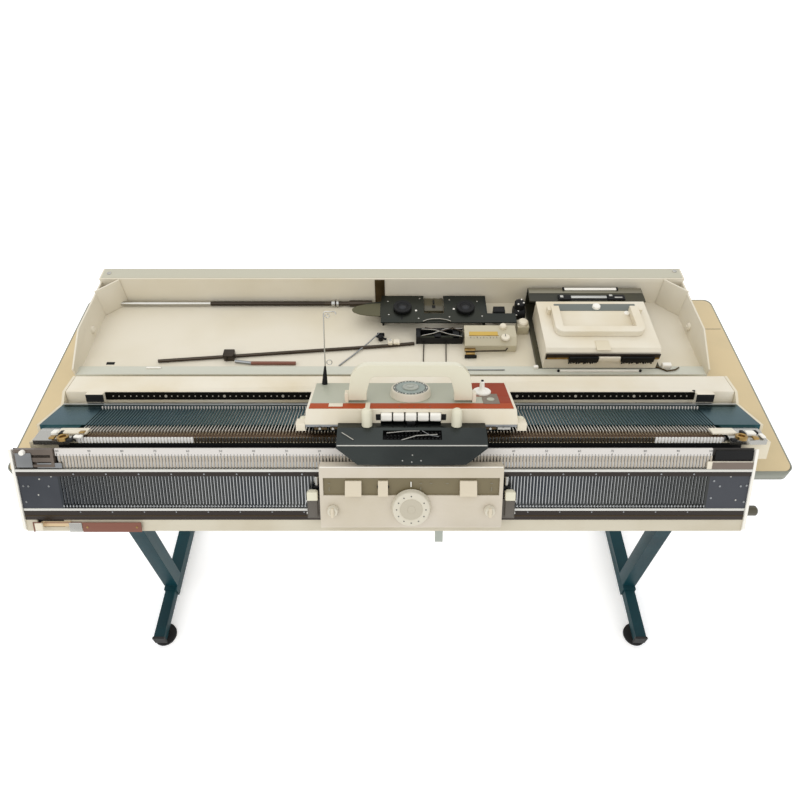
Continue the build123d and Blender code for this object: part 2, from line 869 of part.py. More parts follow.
def carriage_handle():
    """The folding handle: a flat arch with rounded corners and a pin across each post."""
    base = cover_top + handle_pivot_height - handle_heel
    top = cover_top + handle_rise
    ear_top = cover_top + handle_pivot_height + handle_pin + 2
    left_inner = handle_left + handle_post
    right_inner = handle_right - handle_post
    inset = handle_top_inset
    outer = Polyline([
        (handle_left, 0, base), (handle_left, 0, ear_top), (handle_left + inset, 0, top),
        (handle_right - inset, 0, top), (handle_right, 0, ear_top), (handle_right, 0, base),
        (right_inner, 0, base), (right_inner, 0, ear_top), (right_inner - inset, 0, top - handle_bar),
        (left_inner + inset, 0, top - handle_bar), (left_inner, 0, ear_top), (left_inner, 0, base),
    ], close=True)
    face = make_face(outer)
    top_corners = face.vertices().filter_by_position(Axis.Z, top - 1, top + 1)
    face = fillet(top_corners, handle_corner)
    inner_corners = face.vertices().filter_by_position(Axis.Z, top - handle_bar - 1, top - handle_bar + 1)
    face = fillet(inner_corners, handle_corner - handle_bar)
    arch = extrude(face, amount=handle_depth / 2, dir=(0, 1, 0), both=True)
    arch = Pos(0, handle_y, 0) * arch
    for side, x in ((-1, handle_left), (1, handle_right)):
        pin = Rot(0, 90, 0) * Cylinder(handle_pin, handle_ear)
        arch += Pos(x + side * handle_ear / 2, handle_y, cover_top + handle_pivot_height) * pin
    return arch


def tension_dial():
    """The stitch dial: a ribbed rim narrowing to the top, a hub and a shaft down to the cams."""
    low = cover_top + running_gap
    high = cover_top + dial_height
    dial = grip(dial_x, dial_y, low, high, dial_radius, dial_flats, dial_top_radius)
    dial += grip(dial_x, dial_y, high, high + dial_hub_height, dial_hub_radius, knob_flats)
    return dial + upright(dial_x, dial_y, plate_top - plate_thickness, low, dial_shaft)


def change_knob():
    """The knob that changes the carriage's programme, with its upright peg."""
    low = cover_top + running_gap
    high = low + change_height
    knob = grip(change_x, change_y, low, high, change_radius, 2 * knob_flats)
    knob += grip(change_x, change_y, high, low + change_stem_height, change_stem, knob_flats)
    return knob + upright(change_x, change_y, plate_top - plate_thickness, low, change_stem)


def cam_button(index):
    """One of the keys in the front of the cover."""
    middle = button_middle + (index - (button_count - 1) / 2) * button_pitch
    left = middle - button_width / 2
    right = middle + button_width / 2
    key = block(left, right, button_front, button_rear - running_gap, button_bottom, button_top)
    edges = key.edges().filter_by(Axis.X).group_by(Axis.Y)[0]
    return chamfer(edges, 2)


def thumb_screw(x):
    """The thumb screw that holds the arm to the carriage: a ribbed cap on a steel shank."""
    seat = plate_top + arm_thickness + shaft_clearance
    cap = grip(x, thumb_y, seat, thumb_top, thumb_radius, knob_flats)
    return cap + upright(x, thumb_y, plate_top - plate_thickness, seat, thumb_shank)


def arm_leaf():
    """Where the arm leaves its flange: Y there, and the underside's height from there to the fold."""
    return in_world(bed_frame, thumb_y - arm_bend_reach, plate_top)


def arm_window():
    """The front and the rear edge of the window in the arm's leaf."""
    rear = arm_leaf()[0] - arm_window_setback
    return rear - arm_window_depth, rear


def joining_arm():
    """The folded plate between the carriages, with the window over its brushes."""
    t = arm_thickness
    bend_y, leaf_low = arm_leaf()
    fold_y = bend_y - arm_leaf_length
    tip_y, tip_z = in_world(rib_frame, arm_tip_up, arm_tip_out)
    bend_top = in_world(bed_frame, thumb_y - arm_bend_reach, plate_top + t)
    fall = (tip_y - fold_y, tip_z - leaf_low - t)
    length = math.hypot(*fall)
    across = (-fall[1] / length * t, fall[0] / length * t)
    outline = [
        in_world(bed_frame, arm_flange_rear, plate_top), in_world(bed_frame, arm_flange_rear, plate_top + t),
        bend_top, (fold_y, leaf_low + t), (tip_y, tip_z), (tip_y + across[0], tip_z + across[1]),
        (fold_y + t * 0.7, leaf_low), (bend_y, leaf_low),
    ]
    plate = along_x(outline, arm_left, arm_right)
    for x in (thumb_left_x, thumb_right_x):
        plate -= bed_frame * upright(x, thumb_y, plate_top - t, plate_top + 2 * t, thumb_shank + shaft_clearance)
    front, rear = arm_window()
    plate -= block(arm_window_left, arm_window_right, front, rear, leaf_low - t, leaf_low + 2 * t)
    for side, x in ((-1, arm_left), (1, arm_right)):
        corner = Polyline([
            (x, fold_y, leaf_low - t), (x, fold_y, tip_z - t), (x - side * arm_corner_run, fold_y, tip_z - t),
        ], close=True)
        plate -= extrude(make_face(corner), amount=arm_corner_run, dir=(0, 1, 0), both=True)
    return plate


def brush_holder():
    """The holder of the brushes: a tray on two lips under the edges of the arm's window."""
    leaf_low = arm_leaf()[1]
    front, rear = arm_window()
    top = leaf_low - brush_drop
    low = top - brush_tray_height
    tray = block(arm_window_left, arm_window_right, front, rear, low, top)
    for y0, y1 in ((front - brush_lip, front), (rear, rear + brush_lip)):
        tray += block(arm_window_left, arm_window_right, y0, y1, low, leaf_low)
    return tray


# Carriage over the ribber

def rib_carriage_plate():
    """The steel plate under the ribber's carriage."""
    half = rib_cover_width / 2
    plate = block(
        rib_cover_middle - half, rib_cover_middle + half, rib_plate_bottom, rib_plate_top,
        rib_plate_underside, rib_cover_base
    )
    return plate - upright(
        rib_cover_middle, rib_dial_y, rib_plate_underside, rib_cover_base, rib_dial_shaft + shaft_clearance
    )


def rib_carriage_cover():
    """The moulded cover of the ribber's carriage, with the window for its switches."""
    half = rib_cover_width / 2
    left = rib_cover_middle - half
    right = rib_cover_middle + half
    wall = cover_wall
    shell = block(left, right, rib_cover_bottom, rib_cover_top, rib_cover_base, rib_cover_height)
    shell = chamfer(shell.edges().filter_by(Axis.X).group_by(Axis.Z)[-1], 2)
    shell -= block(
        left + wall, right - wall, rib_cover_bottom + wall, rib_cover_top - wall,
        rib_cover_base, rib_cover_height - wall
    )
    shell -= block(band_left, band_right, band_bottom, band_top, rib_cover_height - wall, rib_cover_height)
    floor = rib_cover_height - wall
    shell -= upright(rib_cover_middle, rib_dial_y, floor, rib_cover_height, rib_dial_shaft + shaft_clearance)
    for x in (rib_knob_left, rib_knob_right):
        shell -= upright(x, rib_knob_y, floor, rib_cover_height, rib_knob_stem + shaft_clearance)
    return shell


def switch_band():
    """The dark plate behind the window, slotted for the switches' stems."""
    top = rib_cover_height - cover_wall
    plate = block(
        band_left - band_margin, band_right + band_margin, band_bottom - band_margin, band_top + band_margin,
        top - band_plate, top
    )
    middle = (switch_top + switch_bottom) / 2
    for left, width in zip(switch_lefts, switch_widths):
        x = left + width / 2
        reach = switch_travel + switch_stem / 2 + running_gap
        half = switch_stem / 2 + running_gap
        plate -= block(x - reach, x + reach, middle - half, middle + half, top - band_plate, top)
    return plate


def slide_switch(index):
    """A switch lever over the band, with its stem through the slot."""
    left = switch_lefts[index]
    width = switch_widths[index]
    top = rib_cover_height - cover_wall
    low = top + running_gap
    outline = [
        (switch_bottom, low), (switch_bottom, low + switch_height), (switch_bottom + 5, low + switch_height),
        (switch_top, low + 3), (switch_top, low),
    ]
    lever = along_x(outline, left, left + width)
    x = left + width / 2
    y = (switch_top + switch_bottom) / 2
    half = switch_stem / 2
    return lever + block(x - half, x + half, y - half, y + half, top - band_plate - 2, low)


def rib_dial():
    """The ribber's stitch dial, toothed round its rim."""
    low = rib_cover_height + running_gap
    high = rib_cover_height + rib_dial_height
    dial = grip(rib_cover_middle, rib_dial_y, low, high, rib_dial_radius, dial_flats, rib_dial_top_radius)
    return dial + upright(rib_cover_middle, rib_dial_y, rib_plate_underside, low, rib_dial_shaft)


def rib_knob(x):
    """A small round lever knob beside the dial."""
    low = rib_cover_height + running_gap
    knob = grip(x, rib_knob_y, low, rib_cover_height + rib_knob_height, rib_knob_radius, knob_flats)
    return knob + upright(x, rib_knob_y, rib_cover_height - cover_wall - 2, low, rib_knob_stem)


def side_span(side):
    """The two ends, along X, of the block beside the ribber's carriage."""
    inner = rib_cover_middle + side * rib_cover_width / 2
    outer = inner + side * side_block_width
    return min(inner, outer), max(inner, outer)


def side_block(side):
    x0, x1 = side_span(side)
    return block(x0, x1, side_block_bottom, side_block_top, rib_plate_underside, side_block_height)


def side_lever(side):
    """The latch above a side block, on a tongue that slides in over it."""
    x0, x1 = side_span(side)
    if side < 0:
        x1 = x0 + side_lever_width
    else:
        x0 = x1 - side_lever_width
    low = side_block_height + running_gap
    tongue = block(x0, x1, side_block_bottom + 8, side_lever_top, low, low + 3)
    tab = block(x0, x1, side_block_top, side_lever_top, low, low + 6)
    return tongue + tab


# Lid and accessories

def lid_tray():
    """The lid on its back: a floor on short skirts, two stepped sides, a back wall and its rim."""
    half = lid_width / 2
    left = lid_middle - half
    right = lid_middle + half
    wall = lid_wall
    floor = block(left, right, lid_front, lid_rear, lid_floor - wall, lid_floor)
    side_outline = [
        (lid_front - 12, lid_floor), (lid_front - 12, lid_side_front_height), (lid_side_step, lid_side_height),
        (lid_rear, lid_side_height), (lid_rear, lid_floor),
    ]
    tray = floor
    tray += block(left, right, lid_front - 12, lid_front, lid_floor - wall, lid_floor)
    for x in (left, right - wall):
        tray += along_x(side_outline, x, x + wall)
    tray += block(left, right, lid_rear, lid_rear + wall, lid_floor - wall, lid_rim_height)
    tray += block(left, right, lid_rear, lid_rim_rear, lid_rim_height - wall, lid_rim_height)
    tray += block(left, right, lid_rim_rear - wall, lid_rim_rear, lid_rim_height - lid_rim_drop, lid_rim_height)
    for y in (lid_front + lid_skirt_inset, lid_rear - lid_skirt_inset):
        tray += block(left + wall, right - wall, y, y + wall, table_top_height, lid_floor - wall)
    for y in (lid_front - 12, lid_front - wall):
        tray += block(left, right, y, y + wall, lid_floor, lid_floor + 6)
    return tray


def mast_rods():
    """The yarn mast's two rods lying in the tray, one with its ferrule."""
    z = lid_floor + ferrule_radius
    lie = Rot(0, 90, 0)
    straight = Pos((rod_left + rod_right) / 2, rod_y, z) * lie * Cylinder(rod_radius, rod_right - rod_left)
    ferrule = Pos(rod_right - ferrule_length / 2, rod_y, z) * lie * Cylinder(ferrule_radius, ferrule_length)
    low = lid_floor + bent_rod_radius
    path = Polyline([(x, y, low) for x, y in (bent_rod_start, bent_rod_knee, bent_rod_end)])
    start = Plane(origin=path @ 0, z_dir=path % 0)
    bent = sweep(start * Circle(bent_rod_radius), path=path, transition=Transition.RIGHT)
    clamp = block(*rod_clamp, lid_floor, lid_floor + rod_clamp_height)
    return group(straight + ferrule, bent + clamp)


def spare_arm():
    """The second joining arm lying upside down: two square plates, a blade, a neck and feet in the tray."""
    z0 = arm_plate_z
    z1 = arm_plate_z + arm_plate_thickness
    first, second = arm_plate_lefts
    neck_rear = arm_plate_front + arm_neck_depth
    arm = block(first, arm_tail_end, arm_plate_front, neck_rear, z0, z1)
    for left in arm_plate_lefts:
        arm += block(left, left + arm_plate_width, arm_plate_front, arm_plate_rear, z0, z1)
    shoulder = (first + arm_blade_tip) / 2
    blade = Polyline([
        (first, arm_plate_rear - 16, z0), (shoulder, arm_plate_rear - 20, z0), (arm_blade_tip, neck_rear + 8, z0),
        (shoulder, neck_rear - 4, z0), (first, neck_rear - 8, z0),
    ], close=True)
    arm += extrude(make_face(blade), amount=arm_plate_thickness, dir=(0, 0, 1))
    wheel_y = (arm_plate_front + arm_plate_rear) / 2
    for left in arm_plate_lefts:
        arm -= upright(left + arm_plate_width / 2, wheel_y, z0, z1, wheel_pin + shaft_clearance)
    foot_front = arm_plate_front + arm_foot_inset
    foot_rear = arm_plate_rear - arm_foot_inset
    for x in (first + 2, second + arm_plate_width - arm_foot - 2):
        arm += block(x, x + arm_foot, foot_front, foot_rear, lid_floor, z0)
    tail = block(*tail_block, lid_floor, lid_floor + tail_block_height)
    return group(arm + tail, roller(), springs())


def roller():
    """A small brush roller lying in the tray beside the arm."""
    wheel = Rot(0, 90, 0) * grip(0, 0, 0, roller_length, roller_radius, knob_flats)
    return Pos(roller_x, roller_y, lid_floor + roller_radius) * wheel


def springs():
    """The frame of the yarn springs, an open tray of sheet metal."""
    x0, x1, y0, y1 = spring_frame
    wall = spring_frame_wall
    top = lid_floor + spring_frame_height
    frame = block(x0, x1, y0, y1, lid_floor, top)
    return frame - block(x0 + wall, x1 - wall, y0 + wall, y1 - wall, lid_floor + wall, top)


def brush_wheel(left):
    """A round brush on a plate of the spare arm, with its pin through the plate."""
    x = left + arm_plate_width / 2
    y = (arm_plate_front + arm_plate_rear) / 2
    low = arm_plate_z + arm_plate_thickness + running_gap
    wheel = grip(x, y, low, low + wheel_height, wheel_radius, 2 * knob_flats)
    return wheel + upright(x, y, arm_plate_z - 2, low, wheel_pin)


def tension_unit():
    """The yarn tension unit: a moulded box with a sloping face."""
    y0 = tension_front
    y1 = tension_front + tension_depth
    outline = [
        (y0, lid_floor), (y0, lid_floor + tension_height * 0.6), (y0 + tension_depth * 0.3, lid_floor + tension_height),
        (y1, lid_floor + tension_height), (y1, lid_floor),
    ]
    unit = along_x(outline, tension_left, tension_left + tension_width)
    unit += block(*tension_foot, tension_front, lid_floor, lid_floor + tension_foot_height)
    return group(unit, block(*tension_knob, lid_floor, lid_floor + tension_knob_height))


def spare_carriage():
    """The lace carriage in the tray: a drafted cover with two ears for its handle."""
    x0 = spare_left
    x1 = spare_left + spare_width
    y0 = spare_front
    y1 = spare_front + spare_depth
    top = lid_floor + spare_height
    low = lid_floor + 8
    outline = [(y0, low), (y0 + 3, top - 6), (y0 + 8, top), (y1, top), (y1, low)]
    cover = along_x(outline, x0, x1)
    cover -= block(x0 + spare_wall, x1 - spare_wall, y0 + 3 + spare_wall, y1 - spare_wall, low, top - 6 - spare_wall)
    for left in spare_ears():
        cover += spare_ear_block(left)
    return cover


def spare_ears():
    middle = spare_left + spare_width / 2
    half = spare_handle_width / 2
    return middle - half - running_gap - spare_ear, middle + half + running_gap


def spare_ear_block(left):
    top = lid_floor + spare_height
    axis = top + spare_handle_thickness / 2 + running_gap
    half = spare_handle_pin + 2.5
    ear = block(left, left + spare_ear, spare_handle_y - half, spare_handle_y + half, top, axis + half)
    bore = Rot(0, 90, 0) * Cylinder(spare_handle_pin + shaft_clearance, spare_ear)
    return ear - Pos(left + spare_ear / 2, spare_handle_y, axis) * bore


def spare_plate():
    """The steel sheet under the lace carriage, folded up at the back, standing on the tray's floor."""
    x0 = spare_left - spare_plate_overhang
    x1 = spare_left + spare_width + spare_plate_overhang
    low = lid_floor + 5
    strip_top = lid_floor + spare_strip_rise
    sheet = spare_sheet
    outline = [
        (spare_front, low), (spare_front, low + sheet), (spare_plate_rear - sheet, low + sheet),
        (spare_plate_rear - sheet, strip_top - sheet), (spare_strip_front, strip_top - sheet),
        (spare_strip_front, strip_top), (spare_plate_rear, strip_top), (spare_plate_rear, low),
    ]
    plate = along_x(outline, x0, x1)
    for x in (x0, x1 - 6):
        plate += block(x, x + 6, spare_front, spare_plate_rear, lid_floor, low)
    return plate


def spare_handle():
    """The lace carriage's handle, folded down to the front."""
    middle = spare_left + spare_width / 2
    half = spare_handle_width / 2
    top = lid_floor + spare_height
    z0 = top + running_gap
    z1 = z0 + spare_handle_thickness
    bar = spare_handle_bar
    y0 = spare_handle_y - spare_handle_reach
    outer = block(middle - half, middle + half, y0, spare_handle_y + 5, z0, z1)
    outer = fillet(outer.edges().filter_by(Axis.Z).group_by(Axis.Y)[0], bar)
    outer -= block(middle - half + bar, middle + half - bar, y0 + bar, spare_handle_y + 6, z0, z1)
    heel = outer.edges().filter_by(Axis.X).group_by(Axis.Y)[-1].group_by(Axis.Z)[0]
    outer = chamfer(heel, 4)
    pin_length = bar + spare_ear
    for side in (-1, 1):
        x = middle + side * (half + spare_ear - pin_length / 2)
        pin = Rot(0, 90, 0) * Cylinder(spare_handle_pin, pin_length)
        outer += Pos(x, spare_handle_y, (z0 + z1) / 2) * pin
    return outer


def write(name, shape):
    export_step(shape, "parts/" + name + ".step")


def main():
    os.makedirs("parts", exist_ok=True)
    write("table_top", table_top())
    write("table_edge_band", table_edge_band())
    write("leg_frames", group(both_sides(leg_frame), stretcher()))
    write("foot_bars", both_sides(foot_bar))
    write("levelling_pads", group(levelling_pads(), both_sides(bar_caps)))
    write("table_clamps", both_sides(table_clamp))

    write("main_case", bed_frame * main_case())
    write("main_bed", bed_frame * slotted_bed(bed_length, bed_thickness, 0, bed_depth))
    write("main_needles", bed_frame * needle_row(needle_tip, needle_tail))
    write("bed_strips", bed_frame * bed_strips())
    write("rear_cover", bed_frame * rear_cover())
    write("pattern_belt", bed_frame * pattern_belt())
    write("hook_brackets", bed_frame * both_sides(hook_brackets))

    write("ribber_base", rib_frame * ribber_base())
    write("ribber_bed", rib_frame * ribber_bed())
    write("ribber_needles", rib_frame * Pos(ribber_racked, 0, 0) * needle_row(ribber_needle_tail, ribber_needle_tip))
    write("number_strip", rib_frame * number_strip())
    write("ribber_rails", rib_frame * ribber_rails())
    write("ribber_end_plates", rib_frame * both_sides(ribber_end_plates))
    write("ribber_cheeks", rib_frame * both_sides(ribber_cheek))
    write("ribber_skirt", rib_frame * ribber_skirt())
    write("ribber_corner_blocks", rib_frame * ribber_corner_blocks())
    write("racking_crank", rib_frame * racking_crank())
    write("half_pitch_lever", rib_frame * half_pitch_lever())
    write("end_knob", rib_frame * end_knob())

    write("carriage_plate", bed_frame * carriage_plate())
    write("carriage_cover", bed_frame * carriage_cover())
    write("carriage_handle", bed_frame * carriage_handle())
    write("tension_dial", bed_frame * tension_dial())
    write("change_knob", bed_frame * change_knob())
    for index in range(button_count):
        write("cam_button_" + str(index + 1), bed_frame * cam_button(index))
    write("thumb_screw_left", bed_frame * thumb_screw(thumb_left_x))
    write("thumb_screw_right", bed_frame * thumb_screw(thumb_right_x))
    write("joining_arm", joining_arm())
    write("brush_holder", brush_holder())

    write("rib_carriage_plate", rib_frame * rib_carriage_plate())
    write("rib_carriage_cover", rib_frame * rib_carriage_cover())
    write("switch_band", rib_frame * switch_band())
    for index in range(len(switch_lefts)):
        write("slide_switch_" + str(index + 1), rib_frame * slide_switch(index))
    write("rib_dial", rib_frame * rib_dial())
    write("rib_knob_left", rib_frame * rib_knob(rib_knob_left))
    write("rib_knob_right", rib_frame * rib_knob(rib_knob_right))
    write("side_blocks", rib_frame * both_sides(side_block))
    write("side_lever_left", rib_frame * side_lever(-1))
    write("side_lever_right", rib_frame * side_lever(1))

    write("lid_tray", lid_tray())
    write("mast_rods", mast_rods())
    write("spare_arm", spare_arm())
    write("brush_wheel_left", brush_wheel(arm_plate_lefts[0]))
    write("brush_wheel_right", brush_wheel(arm_plate_lefts[1]))
    write("tension_unit", tension_unit())
    write("spare_carriage", spare_carriage())
    write("spare_plate", spare_plate())
    write("spare_handle", spare_handle())


main()
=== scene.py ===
import json
import math

import bmesh
import bpy
from mathutils import Matrix, Vector


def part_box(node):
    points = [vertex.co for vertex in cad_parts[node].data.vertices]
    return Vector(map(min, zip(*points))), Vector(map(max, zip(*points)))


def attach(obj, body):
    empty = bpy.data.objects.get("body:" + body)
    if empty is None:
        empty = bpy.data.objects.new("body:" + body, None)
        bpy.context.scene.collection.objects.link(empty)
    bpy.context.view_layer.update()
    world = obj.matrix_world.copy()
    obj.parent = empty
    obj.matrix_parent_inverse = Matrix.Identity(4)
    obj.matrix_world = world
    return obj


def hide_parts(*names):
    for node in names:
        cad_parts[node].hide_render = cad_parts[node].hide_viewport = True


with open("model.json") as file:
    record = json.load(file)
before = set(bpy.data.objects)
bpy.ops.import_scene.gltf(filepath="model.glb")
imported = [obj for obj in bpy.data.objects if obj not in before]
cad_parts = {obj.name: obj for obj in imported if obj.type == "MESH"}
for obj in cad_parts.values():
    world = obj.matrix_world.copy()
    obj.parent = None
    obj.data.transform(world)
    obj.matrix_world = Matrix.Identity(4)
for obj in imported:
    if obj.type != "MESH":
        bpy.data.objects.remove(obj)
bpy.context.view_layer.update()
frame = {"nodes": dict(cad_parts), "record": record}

bl_info = {
    "name": "Hand knitting machine",
    "version": (1, 0, 0),
    "blender": (4, 5, 0),
    "location": "3D Viewport > Sidebar > Knitting",
    "description": "Dresses the packed frame of a double-bed hand knitting machine",
    "category": "Object",
}

MM = 0.001

# The two needle beds, each with its own frame: X along the bed, Y along the needles, Z square to it
BED = Matrix.Translation((0, -0.127, 0.782)) @ Matrix.Rotation(math.radians(-25), 4, "X")
RIB = Matrix.Translation((0, -0.170, 0.800)) @ Matrix.Rotation(math.radians(58), 4, "X")
# The arm's front flange, with Y up to its fold and Z out of its face
FLANGE = Matrix.Translation((0, -0.1904, 0.8175)) @ Matrix.Rotation(math.radians(65.1), 4, "X")
WORLD = Matrix.Identity(4)
RIB_MIDDLE = -22.5

# The wire yarn guide, square to the carriage's cover: (x, z, radius) up its grip, then (x, z) along its wire
GUIDE_GRIP = ((-111.8, 38.6, 4.3), (-111.5, 42.5, 4.0), (-110.6, 57.0, 2.6), (-110.0, 67.0, 1.3))
GUIDE_MAST = (
    (-110.0, 66.5), (-108.6, 143.0), (-108.2, 147.2), (-106.6, 149.2), (-93.6, 149.4), (-91.2, 148.0),
    (-91.0, 145.4),
)
GUIDE_EYES = (("top", (-103.1, 143.3), 2.9, (-108.5, 142.6)), ("low", (-103.4, 73.0), 3.8, (-109.8, 71.4)))

# The photograph's camera, and the lamps of a soft studio: (name, place, size, power)
CAMERA_PLACE = (0, -0.683, 1.480)
CAMERA_PITCH = 40.8
LENS = 28.125
SENSOR = 36
SKY_COLOUR = "#FCFDFF"
SKY_STRENGTH = 0.97
FLOOR_GLOW = 0.25
FLOOR_HALF_WIDTH = 8
LAMP_TARGET = Vector((0, 0, 0.75))
LAMPS = (
    ("window", (-1.4, -1.4, 3.0), 2.2, 16),
    ("fill", (1.9, -1.8, 2.4), 2.0, 5),
    ("sky", (0, 1.6, 3.2), 2.6, 8),
)

# Between these places the main bed's gate pegs are worn down to bare steel
WORN_PEGS = (-288, 356)
# Half of the pattern belt's punched length, and of the ribber's rails
BELT_HALF = 446
RAIL_HALF = 507
# Height of a numeral over the size of its font
NUMERAL_SHARE = 0.7
# Edges sharper than these, in degrees, stay sharp
MOULDED_ANGLE = 35
TURNED_ANGLE = 30
COVER_ANGLE = 28

finishes = {}

body_of_node = {
    node: body for body, nodes in frame["record"]["behaviour"]["bodies"].items() for node in nodes
}


def linear(code):
    """An sRGB hex colour as the linear one that a shader reads."""
    values = [int(code[i:i + 2], 16) / 255 for i in (1, 3, 5)]
    return tuple(v / 12.92 if v <= 0.04045 else ((v + 0.055) / 1.055) ** 2.4 for v in values) + (1.0,)


# What a user would change

def length(title, about, value):
    """A length in metres with its default given in millimetres."""
    return bpy.props.FloatProperty(
        name=title, description=about, default=value * MM, min=0.0, precision=5, unit="LENGTH",
        subtype="DISTANCE"
    )


def tint(title, about, code):
    """A colour with its default given as an sRGB hex value."""
    return bpy.props.FloatVectorProperty(
        name=title, description=about, default=linear(code)[:3], min=0.0, max=1.0, size=3, subtype="COLOR"
    )


class KnittingSizes(bpy.types.PropertyGroup):
    """Sizes of the fittings that dress the machine"""
    needle_count: bpy.props.IntProperty(name="Needles", description="Needles in each bed", default=200, min=1)
    needle_pitch: length("Needle pitch", "From one needle to the next", 4.5)
    tooth_width: length("Tooth width", "Width of a tooth between the ribber's hooks", 2.6)
    peg_width: length("Peg width", "Width of a gate peg of the main bed", 2.5)
    screw_radius: length("Screw radius", "Head radius of the beds' small screws", 1.25)
    screw_pitch: length("Screw pitch", "From one rail screw to the next", 45.0)
    wire_radius: length("Wire radius", "Radius of the steel wires", 0.9)
    soft_edge: length("Soft edge", "Rounding of the moulded covers' edges", 1.6)
    handle_edge: length("Handle edge", "Rounding of the carriage handle", 6.0)
    belt_hole_pitch: length("Belt hole pitch", "From one small hole of the pattern belt to the next", 9.0)
    table_corner: length("Table corner", "Radius of the table's corners", 14.0)
    numeral_height: length("Numeral height", "Height of the numerals on the number strip", 3.2)


class KnittingColours(bpy.types.PropertyGroup):
    """Colours of the main finishes"""
    cream: tint("Cream", "Moulded covers and the lid", "#E0D8C5")
    white: tint("White", "Keys, caps and levers", "#EDE9DE")
    table: tint("Table", "Melamine table top", "#D1BC91")
    enamel: tint("Enamel", "Enamelled legs", "#09353C")
    bed: tint("Bed", "Ground steel of the main bed", "#315053")
    slate: tint("Slate", "Darkened steel of the ribber", "#4A4B49")
    stripe: tint("Stripe", "Orange stripe of the carriage", "#A54418")
    panel: tint("Panel", "Grey-green panel of the carriage", "#ACAD9A")
    window: tint("Window", "Olive plate behind the ribber carriage's switches", "#73684B")


# Materials

def add_node(tree, kind, settings=None, links=None):
    """Adds a node, sets its properties or sockets by name, and links its inputs to other nodes' sockets."""
    node = tree.nodes.new(kind)
    for key, value in (settings or {}).items():
        if hasattr(node, key):
            setattr(node, key, value)
        else:
            node.inputs[key].default_value = value
    for key, socket in (links or {}).items():
        tree.links.new(socket, node.inputs[key])
    return node


def finish(
    name, colour, roughness, metallic=0.0, grain=None, depth=0.0, soiling=None, spread=120.0, coat=0.0,
    shine=0.5
):
    """A surface with a fine grain of a real size in millimetres and a broad, faint soiling."""
    base = linear(colour) if isinstance(colour, str) else tuple(colour) + (1.0,)
    material = bpy.data.materials.new(name)
    material.use_nodes = True
    tree = material.node_tree
    tree.nodes.clear()
    place = add_node(tree, "ShaderNodeTexCoord").outputs["Object"]
    surface = {"Base Color": base, "Metallic": metallic, "Roughness": roughness, "Specular IOR Level": shine}
    if coat:
        surface["Coat Weight"] = coat
        surface["Coat Roughness"] = 0.15
    shader = add_node(tree, "ShaderNodeBsdfPrincipled", surface)
    if soiling:
        patches = add_node(
            tree, "ShaderNodeTexNoise", {"Scale": 1000 / spread, "Detail": 4.0}, {"Vector": place}
        )
        soft = add_node(
            tree, "ShaderNodeMapRange", {"From Min": 0.42, "From Max": 0.72}, {"Value": patches.outputs[0]}
        )
        mixed = add_node(tree, "ShaderNodeMix", {"data_type": "RGBA"}, {"Factor": soft.outputs[0]})
        for socket in mixed.inputs:
            if socket.type == "RGBA":
                socket.default_value = base if socket.name == "A" else linear(soiling)
        colour_out = [s for s in mixed.outputs if s.type == "RGBA"][0]
        tree.links.new(colour_out, shader.inputs["Base Color"])
    if grain:
        specks = add_node(
            tree, "ShaderNodeTexNoise", {"Scale": 1000 / grain, "Detail": 3.0}, {"Vector": place}
        )
        sheen = add_node(tree, "ShaderNodeMapRange", {
            "To Min": max(roughness - 0.08, 0.02), "To Max": min(roughness + 0.1, 1.0)
        }, {"Value": specks.outputs[0]})
        tree.links.new(sheen.outputs[0], shader.inputs["Roughness"])
        bump = add_node(tree, "ShaderNodeBump", {
            "Strength": 0.3, "Distance": depth * MM
        }, {"Height": specks.outputs[0]})
        tree.links.new(bump.outputs[0], shader.inputs["Normal"])
    add_node(tree, "ShaderNodeOutputMaterial", None, {"Surface": shader.outputs[0]})
    return material


